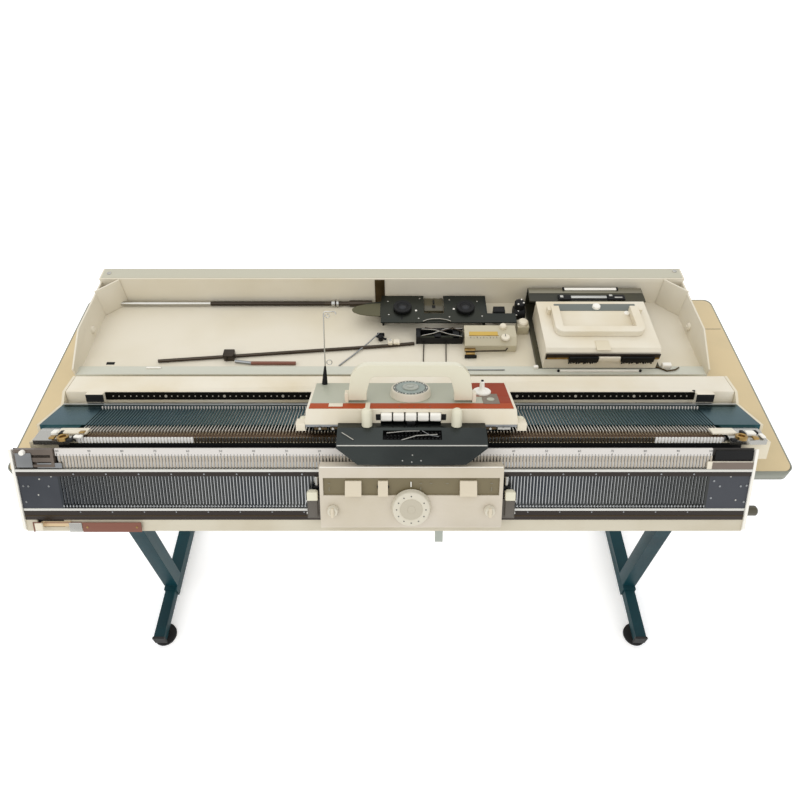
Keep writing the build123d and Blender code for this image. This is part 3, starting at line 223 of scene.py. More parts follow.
def make_finishes(colours):
    """Every finish of the machine, named for what it is."""
    return {
        # Melamine board: a hard, flat tan face with a faint sheen
        "laminate": finish("tan_melamine", colours.table, 0.45, grain=0.8, depth=0.03, soiling="#C4B28A"),
        "edging": finish("grey_edge_strip", "#86887B", 0.5, grain=0.6, depth=0.02),
        # Stoved enamel on steel tube: deep teal, satin, with a slight orange peel
        "enamel": finish(
            "teal_enamel", colours.enamel, 0.45, grain=2.5, depth=0.05, soiling="#0A2A30", shine=0.2
        ),
        "rubber": finish("black_rubber", "#161616", 0.7, grain=0.6, depth=0.05),
        "zinc": finish("zinc_plate", "#A8AAA8", 0.35, metallic=1.0, grain=0.5, depth=0.01),
        # Moulded ABS that has yellowed a little: fine satin texture
        "cream": finish("cream_abs", colours.cream, 0.42, grain=0.5, depth=0.02, soiling="#D6C9AC"),
        "case": finish("cream_case", "#DCD2BA", 0.45, grain=0.6, depth=0.02, soiling="#CBBE9F"),
        "lid": finish("cream_lid", "#DDD5C2", 0.5, grain=0.8, depth=0.03, soiling="#CFC4A8", spread=260.0),
        "lid_rim": finish("grey_cream_rim", "#BBB7A3", 0.45, grain=0.8, depth=0.02),
        # Ground steel plate of the needle bed: it mirrors the cold daylight
        "bed_plate": finish(
            "ground_bed_steel", colours.bed, 0.28, metallic=1.0, grain=0.35, depth=0.01, soiling="#34545E"
        ),
        "needle": finish("polished_needle_steel", "#C7C8C7", 0.2, metallic=1.0),
        "brass_needle": finish("oiled_needle_steel", "#A8977A", 0.25, metallic=1.0),
        "steel": finish(
            "satin_steel", "#9A9C9D", 0.35, metallic=1.0, grain=0.5, depth=0.01, soiling="#7E7F7E"
        ),
        "gate_bar": finish("oiled_gate_bar", "#5B432C", 0.35, metallic=0.6, grain=0.6, depth=0.02),
        "belt": finish("black_film", "#0B0906", 0.8, grain=0.8, depth=0.02, shine=0.1),
        "casting": finish("grey_casting", "#3A3733", 0.5, grain=1.5, depth=0.05),
        "slate": finish(
            "slate_steel", colours.slate, 0.3, metallic=0.9, grain=0.4, depth=0.01, soiling="#353A42"
        ),
        "end_slate": finish(
            "slate_end_plate", "#494B50", 0.4, metallic=0.6, grain=0.4, depth=0.01, soiling="#3A3D42"
        ),
        "peg": finish("white_pegs", "#F2F0EA", 0.4),
        "numbers": finish("white_strip", "#D1CCC5", 0.5, grain=0.5, depth=0.01),
        "tooth": finish("white_comb_teeth", "#B6AC9C", 0.4),
        "rail": finish("satin_aluminium", "#BDBDB8", 0.35, metallic=1.0, grain=0.4, depth=0.01),
        "dark_strip": finish("dark_brown_strip", "#2A211A", 0.4, metallic=0.3),
        # Injection-moulded gloss plastic, still nearly white
        "white": finish("white_gloss_plastic", colours.white, 0.28, grain=0.8, depth=0.01, coat=0.2),
        "panel": finish("grey_green_panel", colours.panel, 0.4, grain=0.5, depth=0.01),
        "panel_dark": finish("dark_green_square", "#746758", 0.45),
        "stripe": finish("orange_stripe", colours.stripe, 0.5, grain=0.5, depth=0.01, shine=0.2),
        "dial": finish("dial_plastic", "#CFC8B5", 0.4, grain=0.5, depth=0.01),
        "dial_ring": finish("dial_green_ring", "#414C47", 0.35, metallic=0.3, grain=0.4, depth=0.01),
        "dial_light": finish("dial_pale_ring", "#929D95", 0.35, metallic=0.3),
        "nickel": finish("nickel_plate", "#B9B7B0", 0.22, metallic=1.0),
        "gold": finish(
            "yellow_chromate_steel", "#AA8B55", 0.3, metallic=0.9, grain=0.5, depth=0.01, soiling="#846A3D",
            spread=12.0
        ),
        "arm": finish("blued_steel", "#3C403E", 0.25, metallic=0.9, grain=0.4, depth=0.01, soiling="#2E3130"),
        "black": finish("black_moulding", "#0E0E0E", 0.5, grain=0.6, depth=0.02, shine=0.25),
        "beige": finish("beige_cover", "#CCC2B1", 0.42, grain=0.5, depth=0.02, soiling="#C1B69F"),
        "olive": finish("olive_lacquer", colours.window, 0.4, grain=0.6, depth=0.01),
        "olive_knob": finish("olive_knob", "#403A23", 0.3, grain=0.6, depth=0.01, coat=0.3),
        "brown": finish("brown_backing", "#7A4A38", 0.45, grain=0.8, depth=0.02),
        "rod": finish("browned_rod", "#4D453D", 0.3, metallic=1.0, grain=0.6, depth=0.01, soiling="#463F35"),
        "blade": finish(
            "olive_grey_blade", "#595641", 0.3, metallic=0.8, grain=0.5, depth=0.01, soiling="#403E2E"
        ),
        "slate_hub": finish("grey_hub", "#2D2E30", 0.35, metallic=0.6),
        "bronze": finish("dark_bronze_strap", "#4E3F26", 0.35, metallic=0.7, grain=0.5, depth=0.01),
        "tan": finish("tan_crank", "#CDB48C", 0.4, grain=0.6, depth=0.02),
        "side_block": finish("brown_grey_block", "#5B554C", 0.45, grain=0.6, depth=0.02),
        "olive_plate": finish("olive_grey_plate", "#7F7A69", 0.35, metallic=0.5, grain=0.5, depth=0.01),
        "lever": finish("grey_lever", "#A5AAA0", 0.4, grain=0.5, depth=0.01),
        "ledge": finish("grey_green_ledge", "#C6C6B7", 0.5, grain=0.8, depth=0.02),
        "rail_bright": finish("bright_rail_edge", "#D8D6CE", 0.35, metallic=0.6, grain=0.4, depth=0.01),
        "dial_centre": finish("pale_dial_centre", "#BAB29E", 0.4, grain=0.5, depth=0.01),
        "rod_dark": finish("dark_browned_rod", "#3C352D", 0.3, metallic=0.8, grain=0.6, depth=0.01),
        "strip_dark": finish("grey_green_strip", "#666B64", 0.45, grain=0.6, depth=0.01),
        "skirt": finish("cream_skirt", "#C9C1AC", 0.42, grain=0.5, depth=0.02, soiling="#BDB299"),
        "switch": finish("cream_switch", "#D1C5AD", 0.35, grain=0.5, depth=0.01),
        "handle": finish("pinkish_white_handle", "#D8D3BB", 0.3, grain=0.8, depth=0.01, coat=0.2),
        "stripe_deep": finish("deep_orange_panel", "#8E3418", 0.5, grain=0.5, depth=0.01, shine=0.2),
        "spare_slate": finish(
            "dark_olive_slate", "#2D2F27", 0.35, metallic=0.7, grain=0.4, depth=0.01, soiling="#222829"
        ),
        "unit": finish("cream_tension_unit", "#BBB297", 0.4, grain=0.5, depth=0.01),
        "hole": finish("belt_hole", "#A39D90", 0.5),
        # Painted light: a lighter copy of the needle steel for the main bed's needles, which stand in shade
        # in their slots
        "needle_painted_light": finish("needle_steel_painted_light", "#D6D0C4", 0.3, metallic=0.8),
        "bracket": finish(
            "brown_grey_bracket", "#7A6E63", 0.4, metallic=0.5, grain=0.5, depth=0.01, soiling="#5E544B"
        ),
        "olive_slate": finish(
            "olive_grey_slate", "#45422F", 0.4, metallic=0.5, grain=0.4, depth=0.01, soiling="#33332B"
        ),
        "dial_boss": finish("dial_grey_boss", "#A7ABA0", 0.3),
        "ink": finish("grey_ink", "#4A4A48", 0.6),
        "window_gold": finish("amber_window", "#C19D33", 0.3, coat=0.3),
    }


node_finish = {
    "table_top": "laminate", "table_edge_band": "edging", "leg_frames": "enamel", "foot_bars": "enamel",
    "levelling_pads": "rubber", "table_clamps": "zinc", "main_case": "case", "main_bed": "bed_plate",
    "main_needles": "needle_painted_light", "bed_strips": "steel", "rear_cover": "cream", "pattern_belt": "belt",
    "hook_brackets": "nickel", "ribber_base": "casting", "ribber_bed": "slate", "ribber_needles": "needle",
    "number_strip": "numbers", "ribber_rails": "rail", "ribber_end_plates": "end_slate",
    "ribber_cheeks": "white", "ribber_skirt": "skirt", "ribber_corner_blocks": "bracket",
    "racking_crank": "tan", "half_pitch_lever": "lever", "end_knob": "olive_knob",
    "carriage_plate": "steel", "carriage_cover": "cream", "carriage_handle": "handle",
    "tension_dial": "dial", "change_knob": "white", "thumb_screw_left": "handle",
    "thumb_screw_right": "handle", "joining_arm": "arm", "brush_holder": "black",
    "rib_carriage_plate": "steel", "rib_carriage_cover": "beige", "switch_band": "olive",
    "slide_switch_1": "switch", "slide_switch_2": "switch", "slide_switch_3": "switch", "rib_dial": "dial",
    "rib_knob_left": "dial", "rib_knob_right": "dial", "side_blocks": "side_block",
    "side_lever_left": "handle", "side_lever_right": "handle", "lid_tray": "lid", "mast_rods": "rod",
    "spare_arm": "spare_slate", "brush_wheel_left": "black", "brush_wheel_right": "black",
    "tension_unit": "unit", "spare_carriage": "cream", "spare_plate": "olive_slate",
    "spare_handle": "cream", **{f"cam_button_{i}": "white" for i in range(1, 6)},
}


# Mesh helpers

def to_piece(name, shape, place, body, finish_name, angle=MOULDED_ANGLE):
    """Finishes a bmesh in millimetres as an object in its bed's frame that rides on a body."""
    bmesh.ops.transform(shape, matrix=place @ Matrix.Scale(MM, 4), verts=shape.verts)
    bmesh.ops.recalc_face_normals(shape, faces=shape.faces)
    mesh = bpy.data.meshes.new(name)
    shape.to_mesh(mesh)
    shape.free()
    for polygon in mesh.polygons:
        polygon.use_smooth = True
    mesh.set_sharp_from_angle(angle=math.radians(angle))
    thing = bpy.data.objects.new(name, mesh)
    bpy.context.scene.collection.objects.link(thing)
    mesh.materials.append(finishes[finish_name])
    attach(thing, body)
    return thing


def box_in(shape, x0, x1, y0, y1, z0, z1, bevel=0.0):
    """A box between two corners, with its edges rounded by bevel."""
    made = bmesh.ops.create_cube(shape, size=1.0)["verts"]
    size = Matrix.Diagonal((x1 - x0, y1 - y0, z1 - z0, 1))
    centre = Matrix.Translation(((x0 + x1) / 2, (y0 + y1) / 2, (z0 + z1) / 2))
    bmesh.ops.transform(shape, matrix=centre @ size, verts=made)
    if bevel:
        edges = list({e for v in made for e in v.link_edges})
        bmesh.ops.bevel(shape, geom=edges, offset=bevel, segments=3, profile=0.5, affect="EDGES", material=-1)


def rod_in(shape, start, end, radius, sides=16, end_radius=None):
    """A round rod or a cone between two points."""
    start = Vector(start)
    end = Vector(end)
    along = end - start
    turn = along.to_track_quat("Z", "Y").to_matrix().to_4x4()
    made = bmesh.ops.create_cone(
        shape, cap_ends=True, segments=sides, radius1=radius,
        radius2=radius if end_radius is None else end_radius, depth=along.length
    )["verts"]
    bmesh.ops.transform(shape, matrix=Matrix.Translation((start + end) / 2) @ turn, verts=made)


def turned_in(shape, outline, steps, at):
    """A form turned about Z from (radius, z) corners that start and end on the axis."""
    before = set(shape.verts)
    verts = [shape.verts.new((r, 0, z)) for r, z in outline]
    edges = [shape.edges.new(pair) for pair in zip(verts, verts[1:])]
    bmesh.ops.spin(
        shape, geom=verts + edges, cent=(0, 0, 0), axis=(0, 0, 1), dvec=(0, 0, 0), angle=math.tau,
        steps=steps, use_merge=True, use_duplicate=False
    )
    made = [v for v in shape.verts if v not in before]
    bmesh.ops.remove_doubles(shape, verts=made, dist=1e-4)
    made = [v for v in shape.verts if v not in before]
    bmesh.ops.transform(shape, matrix=Matrix.Translation((at[0], at[1], 0)), verts=made)


def boxes(name, body, finish_name, place, rows, bevel=0.0):
    """Several boxes of one finish, each from its two corners."""
    shape = bmesh.new()
    for row in rows:
        box_in(shape, *row, bevel=bevel)
    return to_piece(name, shape, place, body, finish_name)


def rods(name, body, finish_name, place, rows):
    """Several rods or cones of one finish, each from its start, end, radius, sides and end radius."""
    shape = bmesh.new()
    for row in rows:
        rod_in(shape, *row)
    return to_piece(name, shape, place, body, finish_name)


def discs(name, body, finish_name, place, spots, radius, z0, z1, sides=20, rounding=0.0):
    """Round heads standing on a surface at (x, y) spots."""
    shape = bmesh.new()
    for x, y in spots:
        if rounding:
            turned_in(
                shape,
                [
                    (0, z0), (radius, z0), (radius, z1 - rounding),
                    (radius - rounding * 0.3, z1 - rounding * 0.3), (radius - rounding, z1), (0, z1),
                ], sides, (x, y)
            )
        else:
            rod_in(shape, (x, y, z0), (x, y, z1), radius, sides)
    return to_piece(name, shape, place, body, finish_name)


def turned(name, body, finish_name, place, outline, at, steps):
    """One turned form of one finish."""
    shape = bmesh.new()
    turned_in(shape, outline, steps, at)
    return to_piece(name, shape, place, body, finish_name, TURNED_ANGLE)


def wire(name, body, finish_name, place, points, radius, closed=False):
    """A bent wire through a few points, made a mesh before it is placed."""
    curve = bpy.data.curves.new(name, "CURVE")
    curve.dimensions = "3D"
    curve.bevel_depth = radius
    curve.bevel_resolution = 2
    curve.use_fill_caps = True
    spline = curve.splines.new("POLY")
    spline.points.add(len(points) - 1)
    for point, spot in zip(spline.points, points):
        point.co = (*spot, 1.0)
    spline.use_cyclic_u = closed
    source = bpy.data.objects.new(name, curve)
    bpy.context.scene.collection.objects.link(source)
    bpy.context.view_layer.update()
    mesh = bpy.data.meshes.new_from_object(source.evaluated_get(bpy.context.evaluated_depsgraph_get()))
    bpy.data.objects.remove(source)
    shape = bmesh.new()
    shape.from_mesh(mesh)
    bpy.data.meshes.remove(mesh)
    return to_piece(name, shape, place, body, finish_name)


def around(centre, radius, count, start=0.0, step=None):
    """Spots on a circle, evenly spaced unless a step in degrees is given."""
    turns = [math.radians(start + i * (step or 360 / count)) for i in range(count)]
    return [(centre[0] + radius * math.cos(a), centre[1] + radius * math.sin(a)) for a in turns]


def lettering(name, body, finish_name, place, words, height):
    """Numerals lying on a surface: words is a list of (text, x, y, z) with the middle of each."""
    shape = bmesh.new()
    for text, x, y, z in words:
        curve = bpy.data.curves.new(name, "FONT")
        curve.body = text
        curve.size = height / NUMERAL_SHARE
        curve.align_x = "CENTER"
        curve.align_y = "CENTER"
        curve.resolution_u = 2
        curve.extrude = 0.04
        source = bpy.data.objects.new(name, curve)
        bpy.context.scene.collection.objects.link(source)
        bpy.context.view_layer.update()
        mesh = bpy.data.meshes.new_from_object(source.evaluated_get(bpy.context.evaluated_depsgraph_get()))
        bpy.data.objects.remove(source)
        mesh.transform(Matrix.Translation((x, y, z)))
        shape.from_mesh(mesh)
        bpy.data.meshes.remove(mesh)
    return to_piece(name, shape, place, body, finish_name)


def softened(node, width, segments=3):
    """A copy of a CAD node with its flat faces joined and its edges rounded, in place of the node."""
    source = frame["nodes"][node].data
    shape = bmesh.new()
    shape.from_mesh(source)
    bmesh.ops.remove_doubles(shape, verts=shape.verts, dist=1e-6)
    bmesh.ops.dissolve_limit(
        shape, angle_limit=math.radians(1), verts=shape.verts, edges=shape.edges,
        use_dissolve_boundaries=False
    )
    mesh = bpy.data.meshes.new(node + "_soft")
    shape.to_mesh(mesh)
    shape.free()
    for polygon in mesh.polygons:
        polygon.use_smooth = True
    thing = bpy.data.objects.new(node + "_soft", mesh)
    bpy.context.scene.collection.objects.link(thing)
    mesh.materials.append(finishes[node_finish[node]])
    bevel = thing.modifiers.new("rounding", "BEVEL")
    bevel.width = width
    bevel.segments = segments
    bevel.limit_method = "ANGLE"
    bevel.angle_limit = math.radians(COVER_ANGLE)
    bevel.harden_normals = True
    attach(thing, body_of_node[node])
    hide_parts(node)


def row_places(sizes, offset=0.0, middle=0.0):
    """The middles of the needles along a bed, in millimetres."""
    pitch = sizes.needle_pitch / MM
    return [
        middle + offset * pitch + (i - (sizes.needle_count - 1) / 2) * pitch
        for i in range(sizes.needle_count)
    ]


# The pieces

def pale_floor():
    """A plain floor a little brighter than its light alone, as a lit studio floor is."""
    material = finish("pale_floor", "#FAFAFA", 0.95)
    shader = next(node for node in material.node_tree.nodes if node.type == "BSDF_PRINCIPLED")
    shader.inputs["Emission Color"].default_value = (1.0, 1.0, 1.0, 1.0)
    shader.inputs["Emission Strength"].default_value = FLOOR_GLOW
    return material


class KnittingStage(bpy.types.Operator):
    """Floor, lights and camera"""
    bl_idname = "knitting.stage"
    bl_label = "Stage"

    def execute(self, context):
        scene = context.scene
        scene.view_settings.view_transform = "Standard"
        world = bpy.data.worlds.new("soft_sky")
        world.use_nodes = True
        background = world.node_tree.nodes["Background"]
        background.inputs["Color"].default_value = linear(SKY_COLOUR)
        background.inputs["Strength"].default_value = SKY_STRENGTH
        scene.world = world
        shape = bmesh.new()
        bmesh.ops.create_grid(shape, x_segments=1, y_segments=1, size=FLOOR_HALF_WIDTH)
        mesh = bpy.data.meshes.new("floor")
        shape.to_mesh(mesh)
        shape.free()
        floor = bpy.data.objects.new("floor", mesh)
        mesh.materials.append(pale_floor())
        scene.collection.objects.link(floor)
        for name, place, size, power in LAMPS:
            lamp = bpy.data.lights.new(name, "AREA")
            lamp.size = size
            lamp.energy = power
            light = bpy.data.objects.new(name, lamp)
            light.location = place
            light.rotation_euler = (LAMP_TARGET - Vector(place)).to_track_quat("-Z", "Y").to_euler()
            scene.collection.objects.link(light)
        lens = bpy.data.cameras.new("camera")
        lens.lens = LENS
        lens.sensor_width = SENSOR
        camera = bpy.data.objects.new("camera", lens)
        camera.location = CAMERA_PLACE
        camera.rotation_euler = (math.radians(CAMERA_PITCH), 0, 0)
        scene.collection.objects.link(camera)
        scene.camera = camera
        return {"FINISHED"}


class KnittingFinishes(bpy.types.Operator):
    """Gives each part of the frame its finish"""
    bl_idname = "knitting.finishes"
    bl_label = "Finishes"

    def execute(self, context):
        finishes.update(make_finishes(context.scene.knitting_colours))
        for name, thing in frame["nodes"].items():
            thing.data.materials.clear()
            thing.data.materials.append(finishes[node_finish[name]])
        return {"FINISHED"}


class KnittingCovers(bpy.types.Operator):
    """Rounds the edges of the moulded covers, the handles and the stand"""
    bl_idname = "knitting.covers"
    bl_label = "Moulded covers"

    def execute(self, context):
        sizes = context.scene.knitting_sizes
        softened("carriage_handle", sizes.handle_edge, 5)
        softened("spare_handle", sizes.soft_edge * 1.8, 4)
        for node in ("carriage_cover", "rib_carriage_cover", "spare_carriage", "ribber_cheeks", "rear_cover"):
            softened(node, sizes.soft_edge)
        for node in ("lid_tray", "ribber_skirt", "leg_frames", "foot_bars", "tension_unit"):
            softened(node, sizes.soft_edge * 0.8)
        for i in range(1, 6):
            softened(f"cam_button_{i}", sizes.soft_edge * 0.9)
        return {"FINISHED"}


class KnittingNeedles(bpy.types.Operator):
    """Hooks, butts, gate pegs and comb teeth of both beds"""
    bl_idname = "knitting.needles"
    bl_label = "Needles"

    def execute(self, context):
        sizes = context.scene.knitting_sizes
        peg = sizes.peg_width / MM / 2
        tooth = sizes.tooth_width / MM / 2
        hooks = bmesh.new()
        butts = bmesh.new()
        white_pegs = bmesh.new()
        worn_pegs = bmesh.new()
        for x in row_places(sizes):
            # The hook: a thin stem over the gate bar that turns up and back at its end
            rod_in(hooks, (x, -17, -3.6), (x, -24.6, -4.2), 0.5, 6)
            rod_in(hooks, (x, -24.6, -4.2), (x, -25.2, -2.2), 0.45, 6)
            box_in(butts, x - 0.6, x + 0.6, 53.5, 56, -1.4, 3.2)
            shape = white_pegs if x < WORN_PEGS[0] or x > WORN_PEGS[1] else worn_pegs
            box_in(shape, x - peg, x + peg, -27.2, -25.9, -15, -6.4)
        to_piece("main_hooks", hooks, BED, "machine", "brass_needle")
        to_piece("main_butts", butts, BED, "machine", "numbers")
        to_piece("gate_pegs_white", white_pegs, BED, "machine", "peg")
        to_piece("gate_pegs_worn", worn_pegs, BED, "machine", "brass_needle")
        teeth = bmesh.new()
        pegs = bmesh.new()
        tips = bmesh.new()
        for x in row_places(sizes, 0.5, RIB_MIDDLE):
            box_in(teeth, x - tooth, x + tooth, -39.4, -21.7, -2.4, -0.6)
        for x in row_places(sizes, 0, RIB_MIDDLE):
            box_in(pegs, x - 0.6, x + 0.6, -97.3, -94.6, -2.0, 3.6)
            rod_in(tips, (x, -31, -1.6), (x, -24, -1.4), 0.5, 6)
        to_piece("comb_teeth", teeth, RIB, "ribber", "tooth")
        to_piece("ribber_butts", pegs, RIB, "ribber", "needle")
        to_piece("ribber_hooks", tips, RIB, "ribber", "needle")
        return {"FINISHED"}


class KnittingMainBed(bpy.types.Operator):
    """Worn plate of the gate bar, the rails' screws and the blocks at the ends of the bed"""
    bl_idname = "knitting.main_bed"
    bl_label = "Main bed fittings"

    def execute(self, context):
        sizes = context.scene.knitting_sizes
        r = sizes.screw_radius / MM
        boxes(
            "gate_bar_plate", "machine", "gate_bar", BED,
            [(-453.5, 453.5, -24.5, -0.3, -7.4, -6.7)], 0.2
        )
        boxes("rear_bed_rail", "machine", "rail", BED, [(-512, 512, 64.4, 70.6, 1.9, 2.7)], 0.3)
        boxes(
            "peg_backing", "machine", "numbers", BED,
            [
                (-452, WORN_PEGS[0], -26.5, -25.8, -13.6, -7.2),
                (WORN_PEGS[1], 452, -26.5, -25.8, -13.6, -7.2),
            ], 0.2
        )
        # Painted shade: a black sheet below the gate pegs stands for the shade in the gap between the beds
        boxes(
            "bed_gap_shade", "machine", "black", BED,
            [(-478, 478, -26.9, -26.1, -40, -15.2)], 0.2
        )
        pitch = sizes.screw_pitch / MM * 2
        spots = [(i * pitch, 68.5) for i in range(-5, 6)]
        discs("rear_rail_screws", "machine", "nickel", BED, spots, r, 2.6, 3.1, 14, 0.2)
        # Bracket pads: a moulded block, a ring for the ribber's post and the bent plate's edge
        boxes(
            "bracket_blocks", "machine", "cream", BED,
            [(437, 471, -22, -6.5, -5.5, -1.5), (-480, -438, -22, -6.5, -5.5, -1.5)], 1.2
        )
        boxes(
            "bracket_bits_pale", "machine", "white", BED,
            [
                (483, 496, -26, -16, -5, -0.5), (500, 506, -33, -22, -5, -2), (-487, -478, -24, -14, -5, 0),
                (-452, -440, -33, -26, -5.5, -2),
            ], 1.4
        )
        boxes(
            "bracket_bits_dark", "machine", "black", BED,
            [
                (477, 482, -24, -14, -5, -1), (455, 463, -40, -34, -6.5, -3),
                (-458, -450, -41, -34, -6.5, -3), (496, 502, -20, -12, -5, -2),
                (-476, -471, -25, -15, -5, -1),
            ], 0.9
        )
        boxes(
            "bracket_bits_gold", "machine", "gold", BED,
            [
                (486, 494, -38, -30, -5, -1.5), (-484, -476, -37, -29, -5, -1.5),
                (-448, -440, -24, -17, -2, 0),
            ], 1.2
        )
        shape = bmesh.new()
        for x, y in ((472.5, -31), (-465.5, -33)):
            turned_in(
                shape, [(0, -6), (8, -6), (8, -1.6), (6.2, -0.6), (4.4, -1.6), (4.4, -4.4), (0, -4.4)], 32,
                (x, y)
            )
        to_piece("bracket_rings", shape, BED, "machine", "gold")
        return {"FINISHED"}


class KnittingBelt(bpy.types.Operator):
    """Holes of the pattern belt along the back of the bed"""
    bl_idname = "knitting.belt"
    bl_label = "Pattern belt"

    def execute(self, context):
        step = context.scene.knitting_sizes.belt_hole_pitch / MM
        shape = bmesh.new()
        count = int(BELT_HALF // step)
        for i in range(-count, count + 1):
            big = i % 10 == 0
            rod_in(shape, (i * step, 80.6, 9), (i * step, 80.2, 9), 2.2 if big else 1.1, 12 if big else 8)
        to_piece("belt_holes", shape, BED, "machine", "hole")
        boxes(
            "belt_guides", "machine", "black", BED,
            [(452, 479, 71.2, 72.1, 3.0, 15.2), (-479, -452, 71.2, 72.1, 3.0, 15.2)], 0.3
        )
        # Painted shade: a black disc stands for the shade inside the hole in the rear cover
        rods(
            "rear_cover_hole_shade", "machine", "black", BED,
            [((452, 84, 15.6), (452, 84, 17.0), 2.2, 16)]
        )
        return {"FINISHED"}


class KnittingRibberBed(bpy.types.Operator):
    """Number strip, rails and screws of the ribber"""
    bl_idname = "knitting.ribber_bed"
    bl_label = "Ribber bed fittings"

    def execute(self, context):
        sizes = context.scene.knitting_sizes
        r = sizes.screw_radius / MM
        left = RIB_MIDDLE - RAIL_HALF
        right = RIB_MIDDLE + RAIL_HALF
        boxes(
            "rail_backing", "ribber", "dark_strip", RIB,
            [(left, right, -50.8, -44.3, 2.5, 3.0), (left, right, -118.5, -104.6, 0.5, 0.93)], 0.15
        )
        boxes(
            "rail_edges", "ribber", "rail_bright", RIB,
            [(left, right, -43.9, -40.6, 2.5, 3.6), (left, right, -104.3, -101.2, 0.4, 0.97)], 0.2
        )
        boxes(
            "rail_line", "ribber", "bronze", RIB, [(left, right, -112.8, -111.6, 1.0, 1.3)],
            0.1
        )
        step = sizes.screw_pitch / MM
        spots = [(RIB_MIDDLE + (i - 9.5) * step, -47.4) for i in range(20)]
        discs("upper_rail_screws", "ribber", "steel", RIB, spots, r, 3.0, 3.6, 14, 0.25)
        spots = [(x, -106.4) for x, y in spots]
        discs("lower_rail_screws", "ribber", "steel", RIB, spots, r * 0.8, 0.7, 0.98, 14, 0.1)
        ticks = bmesh.new()
        for x in row_places(sizes, 0, RIB_MIDDLE):
            box_in(ticks, x - 0.35, x + 0.35, -20.9, -19.4, 0, 0.22)
        words = []
        half = sizes.needle_count // 2
        for n in range(10, half + 1, 10):
            for side in (-1, 1):
                x = RIB_MIDDLE + side * (n - 0.5) * sizes.needle_pitch / MM
                box_in(ticks, x - 0.5, x + 0.5, -20.9, -18.0, 0, 0.24)
                words.append((str(n), x, -14.6, 0.1))
        to_piece("number_ticks", ticks, RIB, "ribber", "ink")
        lettering("numerals", "ribber", "ink", RIB, words, sizes.numeral_height / MM)
        return {"FINISHED"}


class KnittingRibberEnds(bpy.types.Operator):
    """Screws, catches, tabs and the crank's plate at the ribber's ends"""
    bl_idname = "knitting.ribber_ends"
    bl_label = "Ribber ends"

    def execute(self, context):
        spots = [
            (-524, -66.7), (-517, -67), (-488.6, -67), (-524, -91), (435.8, -59), (445, -67), (474, -67),
            (482, -66), (435, -85), (482, -91),
        ]
        discs("end_plate_screws", "ribber", "steel", RIB, spots, 1.5, 0, 0.6, 16, 0.25)
        spots = [(-505, -80), (-483, -52), (458, -52), (470, -88), (-500, -56)]
        discs("end_plate_rivets", "ribber", "nickel", RIB, spots, 1.3, 0, 0.6, 14, 0.2)
        # Painted shade: thin black plates stand for the shade in the recesses of the end plates
        boxes(
            "end_recess_shade", "ribber", "black", RIB,
            [(432, 484, -28.4, -13.5, 0.0, 0.5), (-500, -476, -28, -13.5, 0.0, 0.5)], 0.1
        )
        boxes("end_bar", "ribber", "cream", RIB, [(422, 484.6, -40.6, -29.2, 0.1, 2.6)], 0.8)
        boxes(
            "catch_plates", "ribber", "steel", RIB,
            [(-525, -503, -37, -16, 3.6, 4.6), (-498, -464, -38.6, -31, 0.4, 3.0)], 0.4
        )
        discs(
            "catch_knob", "ribber", "white", RIB, [(-513.6, -14.6)], 3.6, 3.4, 9.0, 24, 1.4
        )
        boxes(
            "crank_border", "ribber", "brown", RIB,
            [(-519, -449, -122.6, -121.2, 2.4, 3.6), (-519, -517.4, -136.4, -121.2, 2.4, 3.6)], 0.3
        )
        boxes(
            "crank_knob_cap", body_of_node["racking_crank"], "cream", RIB,
            [(-512, -501, -130, -119, 8.2, 11.5)], 1.6
        )
        boxes(
            "crank_plate", "ribber", "brown", RIB,
            [(-448.9, -365.6, -136.2, -121.2, 3.2, 4.2)], 0.3
        )
        boxes(
            "crank_tab", "ribber", "nickel", RIB,
            [(-467.5, -449.4, -135.8, -121.4, 3.2, 4.8)], 0.6
        )
        discs(
            "crank_plate_screws", "ribber", "gold", RIB, [(-442, -128.5), (-372, -128.5)],
            1.6, 4.2, 4.8, 14, 0.2
        )
        return {"FINISHED"}


